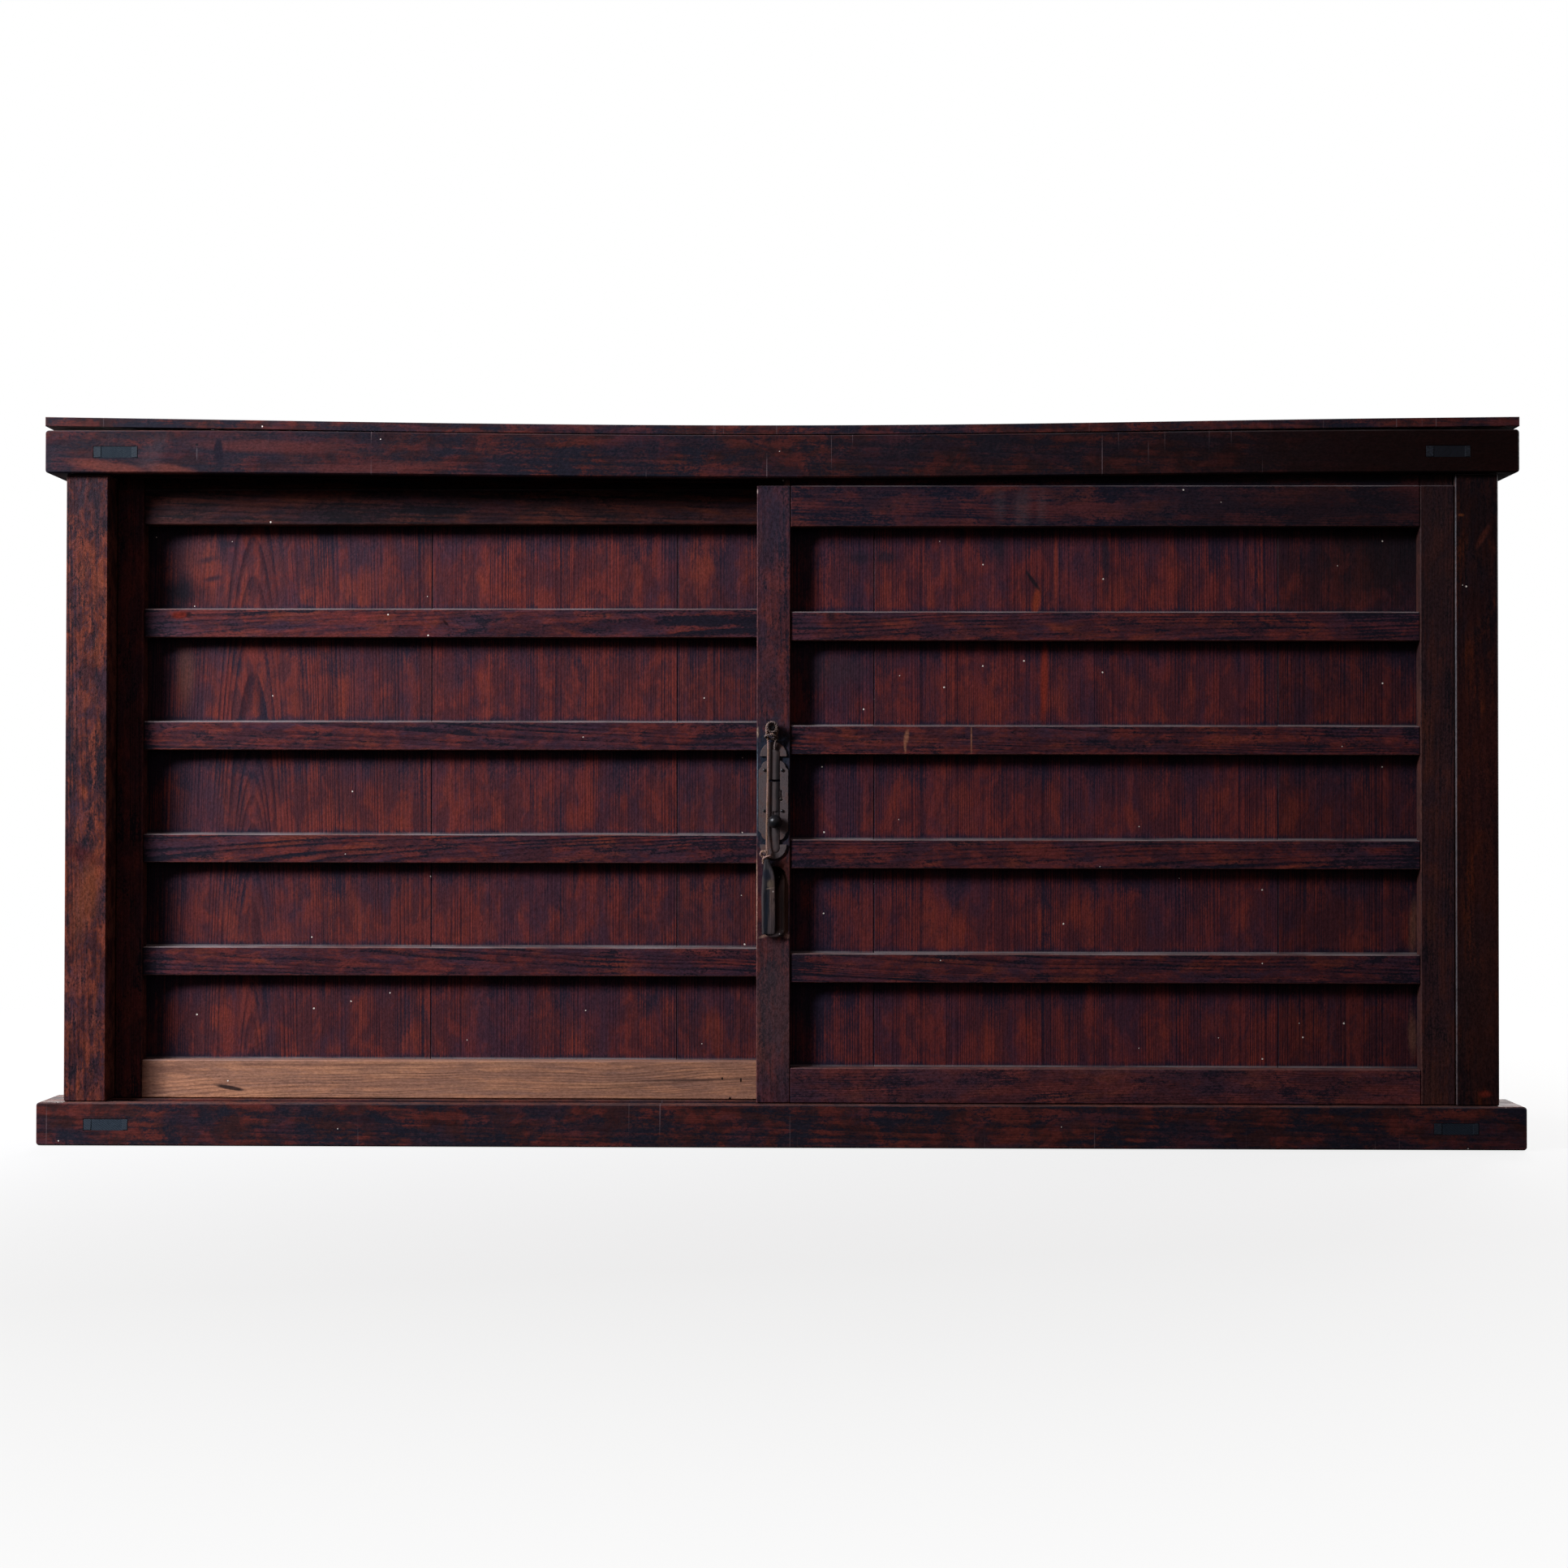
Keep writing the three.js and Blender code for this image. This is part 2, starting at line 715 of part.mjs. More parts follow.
// Tenon of a rail or batten, between the stiles and into both of them
function crossTenon(inner, z, form, gap) {
  const x = widened(inner, form.length + gap);
  const y = widened([form.setBack, form.setBack + form.thickness], gap);
  return block(x, y, widened(z, gap - form.shoulder));
}

const railTenonForm = {
  length: railTenonLength,
  thickness: railTenonThickness,
  setBack: railTenonSetBack,
  shoulder: railTenonShoulder,
};
const battenTenonForm = {
  length: battenTenonLength,
  thickness: battenTenonThickness,
  setBack: battenTenonSetBack,
  shoulder: battenTenonShoulder,
};

function stile(x, inner, levels) {
  const z = [doorFoot, doorShoulder];
  let whole = timber(x, [0, doorThickness], z, doorArris);
  whole = whole.add(tongue(widened(x, -doorArris), [doorBottom, doorTop]));
  for (const level of [levels.topRail, levels.bottomRail]) {
    whole = whole.subtract(crossTenon(inner, level, railTenonForm, jointGap));
  }
  for (const level of levels.battens) {
    whole = whole.subtract(crossTenon(inner, level, battenTenonForm, jointGap));
  }
  const grooveZ = [
    levels.bottomRail[1] - panelGrooveDepth,
    levels.topRail[0] + panelGrooveDepth,
  ];
  return whole.subtract(block(widened(inner, panelGrooveDepth), panelGrooveY, grooveZ));
}

function doorRail(inner, z, atTop) {
  const body = timber(widened(inner, -jointGap), [0, doorThickness], z, doorArris);
  const tongueZ = atTop ? [z[0] + railTenonShoulder, doorTop] : [doorBottom, z[1] - railTenonShoulder];
  let whole = body.add(tongue(widened(inner, -jointGap), tongueZ));
  whole = whole.add(crossTenon(inner, z, railTenonForm, 0));
  const grooveZ = atTop
    ? [z[0] - cutOverrun, z[0] + panelGrooveDepth]
    : [z[1] - panelGrooveDepth, z[1] + cutOverrun];
  return whole.subtract(block(widened(inner, cutOverrun), panelGrooveY, grooveZ));
}

function batten(inner, z) {
  const y = [battenSetBack, panelSetBack - jointGap];
  const body = timber(widened(inner, -jointGap), y, z, battenArris);
  return body.add(crossTenon(inner, z, battenTenonForm, 0));
}

// Every piece of a door at its place, named, with its face at y = 0
function doorPieces(left, stileWidth, levels, seamShares, bottomRailWood) {
  const inner = [left + stileWidth, left + doorWidth - stileWidth];
  const pieces = [
    ['left_stile', stile([left, inner[0]], inner, levels), doorWood],
    ['right_stile', stile([inner[1], left + doorWidth], inner, levels), doorWood],
    ['top_rail', doorRail(inner, levels.topRail, true), doorWood],
    ['bottom_rail', doorRail(inner, levels.bottomRail, false), bottomRailWood],
  ];
  levels.battens.forEach((z, i) => {
    pieces.push([`batten_${i + 1}`, batten(inner, z), doorWood]);
  });
  const panel = widened(inner, panelGrooveDepth - jointGap);
  const seams = seamShares.map((share) => inner[0] + share * (inner[1] - inner[0]));
  const edges = [panel[0] - boardSeam / 2, ...seams, panel[1] + boardSeam / 2];
  const z = [
    levels.bottomRail[1] - panelGrooveDepth + jointGap,
    levels.topRail[0] + panelGrooveDepth - jointGap,
  ];
  for (let i = 0; i + 1 < edges.length; i += 1) {
    const x = widened([edges[i], edges[i + 1]], -boardSeam / 2);
    pieces.push([`panel_board_${i + 1}`, timber(x, panelY, z, boardArris), panelWood]);
  }
  return pieces;
}

// Finger recess: a half-round hollow with a short round foot and a longer round top
function fingerRecess() {
  const x = frontDoorLeft + recessFromStileEdge + recessWidth / 2;
  const straight = [recessFoot + recessFootRadius, recessTop - recessTopRadius];
  const trough = new THREE.CylinderGeometry(1, 1, straight[1] - straight[0], recessSegments);
  trough.rotateX(Math.PI / 2);
  trough.scale(recessWidth / 2, recessDepth, 1);
  trough.translate(x, 0, (straight[0] + straight[1]) / 2);
  let hollow = solidOf(trough);
  for (const [z, radius] of [[straight[0], recessFootRadius], [straight[1], recessTopRadius]]) {
    const end = new THREE.SphereGeometry(1, recessSegments, recessSegments / 2);
    end.rotateX(Math.PI / 2);
    end.scale(recessWidth / 2, recessDepth, radius);
    end.translate(x, 0, z);
    hollow = hollow.add(solidOf(end));
  }
  return hollow;
}

// Places of the plate's four nails
const nailSpots = [];
for (const [height, level] of [[nailUpperHeight, 'upper'], [nailLowerHeight, 'lower']]) {
  for (const [side, hand] of [[-1, 'left'], [1, 'right']]) {
    nailSpots.push({
      name: `${level}_${hand}_plate_nail`,
      x: stileCentre + side * nailHalfSpacing,
      z: plateCentreHeight + height,
    });
  }
}

// Meeting stile, with the finger recess and holes for the nails and the pin
function meetingStile(plain) {
  let whole = plain.subtract(fingerRecess());
  const holeRadius = nailShankRadius + nailHoleGap;
  for (const spot of nailSpots) {
    const y = [-cutOverrun, nailLength + jointGap];
    whole = whole.subtract(rodAlongY(holeRadius, spot.x, y, spot.z, nailSegments));
  }
  const pinHole = [-cutOverrun, cordPinLength + jointGap];
  const pinHoleRadius = cordPinRadius + nailHoleGap;
  return whole.subtract(rodAlongY(pinHoleRadius, pinX, pinHole, cordPinHeight, cordPinSegments));
}

const frontLevels = doorLevels(frontDoorTopRailHeight, frontDoorBottomRailHeight);
const rearLevels = doorLevels(rearDoorTopRailHeight, rearDoorBottomRailHeight);

for (const [name, solid, wood] of doorPieces(
  frontDoorLeft, frontDoorStileWidth, frontLevels, frontDoorSeamShares, doorWood,
)) {
  const shaped = name === 'left_stile' ? meetingStile(solid) : solid;
  addPiece(frontDoor, `front_door_${name}`, shaped, wood);
}
for (const [name, solid, wood] of doorPieces(
  rearDoorLeft, rearDoorStileWidth, rearLevels, rearDoorSeamShares, rawWood,
)) {
  addPiece(rearDoor, `rear_door_${name}`, solid, wood);
}
frontDoor.position.y = frontDoorSetBack;
rearDoor.position.y = frontDoorSetBack + doorPitch;

// Lock plate: a straight body, and at each end a shoulder, a neck and a half-round lobe
function plateOutline() {
  const neckFoot = plateNeckTop - plateNeckHeight;
  const shoulderFoot = plateHalfBody + plateShoulderDrop;
  const quarter = [];
  for (let i = 0; i <= plateCurveSteps; i += 1) {
    const turn = (Math.PI / 2) * (i / plateCurveSteps);
    quarter.push([
      plateLobeHalfWidth * Math.sin(turn),
      plateNeckTop + plateLobeHeight * Math.cos(turn),
    ]);
  }
  quarter.push([plateNeckHalfWidth, plateNeckTop]);
  for (let i = 0; i <= plateCurveSteps; i += 1) {
    const turn = (Math.PI / 2) * (i / plateCurveSteps);
    quarter.push([
      plateNeckHalfWidth + (plateHalfShoulder - plateNeckHalfWidth) * Math.sin(turn),
      shoulderFoot + (neckFoot - shoulderFoot) * Math.cos(turn),
    ]);
  }
  quarter.push([plateHalfWidth, plateHalfBody]);
  const lower = quarter.map(([x, z]) => [x, -z]).reverse();
  const right = [...quarter, ...lower];
  const left = right.slice(1, -1).map(([x, z]) => [-x, z]).reverse();
  const outline = new THREE.Shape();
  [...right, ...left].forEach(([x, z], i) => {
    const place = [stileCentre + x, plateCentreHeight + z];
    if (i === 0) outline.moveTo(...place);
    else outline.lineTo(...place);
  });
  return outline;
}

const lockAxis = stileCentre + lockAxisOffset;

// A round-ended rod along z, flattened in y, on the lock's axis and in the plate's face
function lockRod(halfWidth, height, halfLength) {
  const geometry = new THREE.CapsuleGeometry(
    halfWidth,
    2 * (halfLength - halfWidth),
    ridgeSegments / 4,
    ridgeSegments,
  );
  geometry.rotateX(Math.PI / 2);
  geometry.scale(1, height / halfWidth, 1);
  geometry.translate(lockAxis, plateFront, plateCentreHeight);
  return solidOf(geometry);
}

const behindPlate = [-jointGap, cutOverrun];
const windowFoot = plateCentreHeight + knobHeight - knobStemRadius - windowEndGap;
const windowTop = plateCentreHeight + knobHeight + knobStemRadius + knobTravel + windowEndGap;

function lockPlate() {
  const innerHalfWidth = ridgeHalfWidth - ridgeWall;
  const innerHalf = ridgeHalfLength - ridgeWall;
  const plateZ = about(plateCentreHeight, 2 * innerHalf - 2 * innerHalfWidth);
  let plate = carriedBack(plateOutline(), [plateFront, -jointGap], 0, 1);
  plate = plate.add(lockRod(ridgeHalfWidth, ridgeHeight, ridgeHalfLength));
  plate = plate.subtract(lockRod(innerHalfWidth, ridgeHeight - ridgeWall, innerHalf));
  const channel = about(lockAxis, 2 * innerHalfWidth);
  plate = plate.subtract(block(channel, [plateFront, cutOverrun], plateZ));
  const behindZ = about(plateCentreHeight, 4 * ridgeHalfLength);
  plate = plate.subtract(block(about(lockAxis, 4 * plateHalfWidth), behindPlate, behindZ));
  const stemWidth = 2 * (knobStemRadius + windowSideGap);
  const ridgeY = [ridgeFront - cutOverrun, plateFront];
  plate = plate.subtract(block(about(lockAxis, stemWidth), ridgeY, [windowFoot, windowTop]));
  const slotZ = about(plateCentreHeight + slotAboveCentre, slotHeight);
  plate = plate.subtract(block(about(stileCentre, slotWidth), [ridgeY[0], cutOverrun], slotZ));
  plate = plate.subtract(keyhole());
  const holeRadius = nailShankRadius + nailHoleGap;
  for (const spot of nailSpots) {
    const y = [plateFront - cutOverrun, cutOverrun];
    plate = plate.subtract(rodAlongY(holeRadius, spot.x, y, spot.z, nailSegments));
  }
  return plate;
}

// Keyhole: a slit over a ring that is sunk round the lock's key pin
function keyhole() {
  const x = lockAxis + keyholeFromAxis;
  const y = [plateFront - cutOverrun, plateFront + keyholeDepth];
  const z = plateCentreHeight + keyholeRingHeight;
  const ring = rodAlongY(keyholeRingRadius, x, y, z, ridgeSegments)
    .subtract(rodAlongY(keyPinRadius, x, widened(y, cutOverrun), z, ridgeSegments));
  const slitZ = [z + keyholeRingRadius - keyholeSlitWidth / 2, plateCentreHeight + keyholeSlitTop];
  return ring.add(block(about(x, keyholeSlitWidth), y, slitZ));
}

function nail(spot) {
  const outline = new THREE.Shape();
  outline.moveTo(0, -nailHeadHeight);
  outline.quadraticCurveTo(nailHeadRadius, -nailHeadHeight, nailHeadRadius, 0);
  const profile = outline.getPoints(cornerSteps).map(({ x, y }) => new THREE.Vector2(x, y));
  profile.push(new THREE.Vector2(nailShankRadius, 0));
  profile.push(new THREE.Vector2(nailShankRadius, nailLength - jointGap - plateFront));
  profile.push(new THREE.Vector2(0, nailLength - plateFront));
  const geometry = new THREE.LatheGeometry(profile, nailSegments);
  geometry.translate(spot.x, plateFront - jointGap, spot.z);
  return solidOf(geometry);
}

addPiece(frontDoor, 'lock_plate', lockPlate(), plateIron);
nailSpots.forEach((spot) => addPiece(frontDoor, spot.name, nail(spot), knobIron));

// Flat sliding bar in the plate's channel, with a hole for the knob's rivet

const barHalfWidth = ridgeHalfWidth - ridgeWall - barGap;
const barFront = plateFront;
const knobZ = plateCentreHeight + knobHeight;

function slidingBar() {
  const z = [plateCentreHeight + barFoot, plateCentreHeight + barTop];
  const bar = block(about(lockAxis, 2 * barHalfWidth), [barFront, -2 * jointGap], z);
  const hole = widened([barFront, -2 * jointGap], cutOverrun);
  return bar.subtract(rodAlongY(knobRivetRadius + jointGap, lockAxis, hole, knobZ, nailSegments));
}

// Ball knob with a collar, a stem through the window and a rivet into the bar
function ballKnob() {
  const profile = [];
  const neckTurn = Math.asin(knobNeckRadius / knobRadius);
  for (let i = 0; i <= knobSteps; i += 1) {
    const turn = (Math.PI - neckTurn) * (i / knobSteps);
    profile.push(new THREE.Vector2(
      knobRadius * Math.sin(turn),
      knobCentre - knobRadius * Math.cos(turn),
    ));
  }
  const collarBack = ridgeFront - jointGap;
  const stemEnd = barFront - jointGap;
  profile.push(new THREE.Vector2(knobCollarRadius, collarBack - knobCollarThickness));
  profile.push(new THREE.Vector2(knobCollarRadius, collarBack));
  profile.push(new THREE.Vector2(knobStemRadius, collarBack));
  profile.push(new THREE.Vector2(knobStemRadius, stemEnd));
  profile.push(new THREE.Vector2(knobRivetRadius, stemEnd));
  profile.push(new THREE.Vector2(knobRivetRadius, barFront + knobRivetLength));
  profile.push(new THREE.Vector2(0, barFront + knobRivetLength));
  const geometry = new THREE.LatheGeometry(profile, knobSegments);
  geometry.translate(lockAxis, 0, knobZ);
  return solidOf(geometry);
}

addPiece(lockBolt, 'lock_bar', slidingBar(), plateIron);
addPiece(lockBolt, 'lock_knob', ballKnob(), knobIron);

// Headed pin, the cord on it and the peg at the cord's lower end

function cordPin() {
  const profile = [
    new THREE.Vector2(0, -cordPinReach),
    new THREE.Vector2(cordPinHeadRadius - cordPinHeadThickness / 2, -cordPinReach),
    new THREE.Vector2(cordPinHeadRadius, cordPinHeadThickness / 2 - cordPinReach),
    new THREE.Vector2(cordPinHeadRadius, cordPinHeadThickness - cordPinReach),
    new THREE.Vector2(cordPinRadius, cordPinHeadThickness - cordPinReach),
    new THREE.Vector2(cordPinRadius, cordPinLength - cordPinRadius),
    new THREE.Vector2(0, cordPinLength),
  ];
  const geometry = new THREE.LatheGeometry(profile, cordPinSegments);
  geometry.translate(pinX, 0, cordPinHeight);
  return solidOf(geometry);
}

function cord() {
  const route = new THREE.CatmullRomCurve3(
    cordRoute.map(([x, y, z]) => new THREE.Vector3(pinX + x, y, cordPinHeight + z)),
    false,
    'centripetal',
  );
  const section = new THREE.Shape();
  section.absarc(0, 0, cordDiameter / 2, 0, 2 * Math.PI, false);
  const geometry = new THREE.ExtrudeGeometry(section, {
    steps: cordSteps,
    extrudePath: route,
    curveSegments: cordSides / 2,
    bevelEnabled: false,
  });
  return solidOf(geometry);
}

// The peg tapers from a narrow neck at the top to a square-cut foot
function peg() {
  const x = pinX - pegLeftOfPin;
  const neck = about(x - pegNeckOffset, pegNeckWidth);
  const outline = new THREE.Shape();
  outline.moveTo(neck[0], pegTop);
  outline.lineTo(x - pegWidth / 2, pegTop - pegNeckLength);
  outline.lineTo(x - pegWidth / 2, pegTop - pegLength);
  outline.lineTo(x + pegWidth / 2, pegTop - pegLength);
  outline.lineTo(x + pegWidth / 2, pegTop - pegNeckLength);
  outline.lineTo(neck[1], pegTop);
  const y = about(-pegReach, pegThickness);
  return carriedBack(outline, y, pegArris, 1);
}

addPiece(frontDoor, 'cord_pin', cordPin(), knobIron);
addPiece(frontDoor, 'hanging_cord', cord(), cordFibre);
addPiece(frontDoor, 'cord_peg', peg(), pegWood);

// Origin under the middle of the outer box: the knob is foremost, the rear rails hindmost
root.position.y = -(knobFront + caseDepth) / 2;

export default root;
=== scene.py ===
"""Dresses the frame of a low, wide cupboard with two sliding doors: old stained wood, an iron
lock plate, a twisted cord and a wooden peg. Lengths are in metres, in the frame's own axes:
X along the front, Y from the front to the back, Z up."""

import json
import math
import random
from types import SimpleNamespace

import bmesh
import bpy
from mathutils import Matrix, Vector

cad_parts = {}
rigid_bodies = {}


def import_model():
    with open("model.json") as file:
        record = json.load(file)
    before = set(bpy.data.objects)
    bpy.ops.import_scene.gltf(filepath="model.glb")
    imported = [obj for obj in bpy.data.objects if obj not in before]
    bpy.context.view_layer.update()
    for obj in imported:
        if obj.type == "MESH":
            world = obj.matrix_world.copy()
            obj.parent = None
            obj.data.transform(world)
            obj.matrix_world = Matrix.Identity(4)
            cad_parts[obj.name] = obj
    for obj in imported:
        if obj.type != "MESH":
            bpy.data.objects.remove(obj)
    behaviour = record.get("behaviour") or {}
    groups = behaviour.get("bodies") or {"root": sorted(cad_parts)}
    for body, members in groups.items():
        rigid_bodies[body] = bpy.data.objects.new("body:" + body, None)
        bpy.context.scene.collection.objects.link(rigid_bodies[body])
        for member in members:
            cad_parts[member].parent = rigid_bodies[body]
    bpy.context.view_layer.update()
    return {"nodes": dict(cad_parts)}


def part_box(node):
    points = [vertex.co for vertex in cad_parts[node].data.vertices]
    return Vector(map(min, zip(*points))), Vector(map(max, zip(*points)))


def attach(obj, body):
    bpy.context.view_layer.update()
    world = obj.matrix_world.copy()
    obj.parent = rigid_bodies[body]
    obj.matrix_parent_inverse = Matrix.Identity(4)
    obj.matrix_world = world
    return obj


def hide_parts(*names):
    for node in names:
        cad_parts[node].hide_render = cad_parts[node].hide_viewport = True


MM = 0.001

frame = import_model()


def low(node):
    return Vector(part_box(node)[0])


def high(node):
    return Vector(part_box(node)[1])


def middle(node):
    return (low(node) + high(node)) / 2


FRONT_DOOR_FACE = low("front_door_left_stile").y
PIN = middle("cord_pin")


# Camera, fitted to the photograph's straight edges

CAMERA_PLACE = Vector((0.0389, -2.803, 0.4009))
CAMERA_YAW = math.radians(-0.727)
CAMERA_PITCH = math.radians(0.657)
CAMERA_ROLL = math.radians(0.083)
CAMERA_LENS = 50
CAMERA_SENSOR = 36
CAMERA_NEAR = 0.05
CAMERA_FAR = 100


def make_camera():
    data = bpy.data.cameras.new("camera")
    data.lens = CAMERA_LENS
    data.sensor_width = CAMERA_SENSOR
    data.clip_start = CAMERA_NEAR
    data.clip_end = CAMERA_FAR
    camera = bpy.data.objects.new("camera", data)
    bpy.context.collection.objects.link(camera)
    turn = Matrix.Rotation(-CAMERA_YAW, 4, "Z")
    turn = turn @ Matrix.Rotation(math.pi / 2 + CAMERA_PITCH, 4, "X")
    turn = turn @ Matrix.Rotation(CAMERA_ROLL, 4, "Z")
    camera.matrix_world = Matrix.Translation(CAMERA_PLACE) @ turn
    bpy.context.scene.camera = camera


make_camera()


# Meshes

BEVEL_ANGLE = math.radians(25)
BEVEL_SEGMENTS = 2
PLY_SIDES = 8


def add_mesh(name, vertices, faces, smooth=False):
    mesh = bpy.data.meshes.new(name)
    mesh.from_pydata([tuple(v) for v in vertices], [], faces)
    mesh.update()
    work = bmesh.new()
    work.from_mesh(mesh)
    bmesh.ops.recalc_face_normals(work, faces=work.faces)
    work.to_mesh(mesh)
    work.free()
    for face in mesh.polygons:
        face.use_smooth = smooth
    piece = bpy.data.objects.new(name, mesh)
    bpy.context.collection.objects.link(piece)
    return piece


def smooth_line(points, step):
    """Points a step apart along a smooth curve through the given ones."""
    ends = [2 * points[0] - points[1], *points, 2 * points[-1] - points[-2]]
    line = []
    for a, b, c, d in zip(ends, ends[1:], ends[2:], ends[3:]):
        count = max(1, round((c - b).length / step))
        for i in range(count):
            t = i / count
            line.append(0.5 * (
                2 * b + (c - a) * t
                + (2 * a - 5 * b + 4 * c - d) * t ** 2
                + (3 * b - a - 3 * c + d) * t ** 3
            ))
    return [*line, points[-1].copy()]


def carried_sides(line):
    """A pair of unit vectors square to the line at each point, turning as little as possible."""
    side = (line[1] - line[0]).orthogonal().normalized()
    pairs = []
    for i, point in enumerate(line):
        along = (line[min(i + 1, len(line) - 1)] - line[max(i - 1, 0)]).normalized()
        side = (side - along * side.dot(along)).normalized()
        pairs.append((side.copy(), along.cross(side)))
    return pairs


def around(pair, turn):
    """The unit vector at an angle in the plane of a pair of unit vectors."""
    return pair[0] * math.cos(turn) + pair[1] * math.sin(turn)


def skin(rows, count):
    """Faces over rows of points, count to a row, with a face over the first and last row."""
    faces = []
    for i in range(rows - 1):
        for k in range(count):
            n = (k + 1) % count
            faces.append((i * count + k, i * count + n, (i + 1) * count + n, (i + 1) * count + k))
    faces.append(tuple(range(count))[::-1])
    faces.append(tuple(range((rows - 1) * count, rows * count)))
    return faces


def tube(line, radii, sides):
    """Vertices and faces of a closed tube along a line, with its own radius at each point."""
    vertices = []
    for point, pair, radius in zip(line, carried_sides(line), radii):
        for k in range(sides):
            vertices.append(point + radius * around(pair, 2 * math.pi * k / sides))
    return vertices, skin(len(line), sides)


def joined(parts):
    """Several vertex and face lists as one."""
    vertices, faces = [], []
    for part_vertices, part_faces in parts:
        start = len(vertices)
        vertices.extend(part_vertices)
        faces.extend(tuple(start + i for i in face) for face in part_faces)
    return vertices, faces


def twisted(line, radius, ply_radius, pitch, taper):
    """Two plies wound round each other along a line, each thinner at its ends by a share."""
    reach = [0.0]
    for a, b in zip(line, line[1:]):
        reach.append(reach[-1] + (b - a).length)
    radii = []
    for run in reach:
        near_end = min(run, reach[-1] - run)
        radii.append(ply_radius * (1 - taper * max(0, 1 - near_end / ply_radius)))
    parts = []
    for start in (0, math.pi):
        ply = []
        for point, pair, run in zip(line, carried_sides(line), reach):
            turn = start + 2 * math.pi * run / pitch
            ply.append(point + (radius - ply_radius) * around(pair, turn))
        parts.append(tube(ply, radii, PLY_SIDES))
    return joined(parts)


def soften(piece, width):
    """Rounds the sharp edges of a piece."""
    bevel = piece.modifiers.new("soft_edges", "BEVEL")
    bevel.width = width
    bevel.segments = BEVEL_SEGMENTS
    bevel.limit_method = "ANGLE"
    bevel.angle_limit = BEVEL_ANGLE


# Cord: two open turns round the pin, down beside the lock's ridge and onto the peg. Routes
# are in millimetres from the pin's axis and the front door's face

CORD_DIAMETER = 3 * MM
CORD_PLY_RADIUS = 0.78 * MM
CORD_PITCH = 4.8 * MM
CORD_STEP = 0.5 * MM
CORD_TAPER = 0.3
CORD_ROUTE = [
    (3.4, -2.4, -12.0), (5.3, -2.4, -7.0), (6.1, -2.4, -1.8), (4.3, -2.4, 2.5),
    (0.2, -2.4, 4.2), (-3.9, -2.5, 2.5), (-5.6, -2.6, -1.7), (-4.0, -3.2, -5.9),
    (0.2, -4.4, -7.4), (4.3, -5.5, -5.0), (6.1, -6.0, 0.2), (4.2, -6.0, 4.5),
    (-0.2, -6.0, 6.3), (-4.6, -6.0, 4.6), (-6.6, -6.0, 0.0), (-6.5, -5.6, -6.5),
    (-5.3, -4.7, -13.0), (-4.6, -4.3, -21.0), (-4.5, -4.2, -33.0), (-4.7, -4.2, -47.0),
    (-4.9, -4.2, -61.0), (-5.2, -4.2, -75.0), (-5.4, -4.2, -89.0), (-5.6, -4.3, -103.0),
    (-5.9, -4.4, -117.0), (-6.0, -4.8, -130.0), (-5.9, -5.6, -141.0), (-5.7, -6.3, -149.0),
    (-5.5, -6.5, -155.2),
]


def line_through(route):
    """A smooth line in metres along a route."""
    return smooth_line([
        Vector((PIN.x + x * MM, FRONT_DOOR_FACE + y * MM, PIN.z + z * MM)) for x, y, z in route
    ], CORD_STEP)


def make_strand(name, line, radius, ply_radius, pitch, taper):
    """Twisted cord along a line, which moves with the front door."""
    vertices, faces = twisted(line, radius, ply_radius, pitch, taper)
    piece = add_mesh(name, vertices, faces, smooth=True)
    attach(piece, "front_door")
    return piece


# Peg: a whittled slip of wood with a flat body, a square-cut foot and a narrow neck

PEG_LOW = low("cord_peg")
PEG_HIGH = high("cord_peg")
PEG_NECK_ASIDE = 1.9 * MM
PEG_WAVER = 0.25 * MM
PEG_WAVER_RATE = 9
PEG_EDGE = 0.35 * MM

# Up the peg: shares of its height, its width, its thickness and the neck's way aside

PEG_SHARES = [
    (0.0, 0.88, 0.66, 0), (0.012, 0.94, 0.80, 0), (0.03, 0.96, 0.86, 0),
    (0.15, 0.98, 0.93, 0), (0.35, 1.0, 0.98, 0), (0.52, 1.0, 1.0, 0),
    (0.66, 0.95, 0.98, 0), (0.74, 0.92, 0.95, 0.05), (0.80, 0.84, 0.92, 0.15),
    (0.86, 0.70, 0.90, 0.45), (0.92, 0.52, 0.86, 0.8), (0.97, 0.38, 0.80, 1),
    (0.993, 0.34, 0.70, 1), (1.0, 0.24, 0.5, 1),
]

# Round its section: shares of half the width and half the thickness

PEG_SECTION_SHARES = [
    (-1.0, -0.35), (-0.72, -0.92), (-0.45, -1.0), (0.10, -1.0), (0.35, -0.97),
    (0.92, -0.70), (1.0, -0.45), (1.0, 0.6), (0.85, 1.0), (-0.85, 1.0), (-1.0, 0.6),
]


def make_peg():
    half = (PEG_HIGH - PEG_LOW) / 2
    centre = (PEG_LOW + PEG_HIGH) / 2
    vertices = []
    for share, wide, thick, aside in PEG_SHARES:
        lean = PEG_WAVER * math.sin(PEG_WAVER_RATE * share) - PEG_NECK_ASIDE * aside
        for x, y in PEG_SECTION_SHARES:
            vertices.append((
                centre.x + lean + x * wide * half.x,
                centre.y + y * thick * half.y,
                PEG_LOW.z + 2 * half.z * share,
            ))
    piece = add_mesh("whittled_peg", vertices, skin(len(PEG_SHARES), len(PEG_SECTION_SHARES)))
    soften(piece, PEG_EDGE)
    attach(piece, "front_door")
    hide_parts("cord_peg")
    return piece


# Knots: a loop round the pin with a lump under it, and a knot at the peg

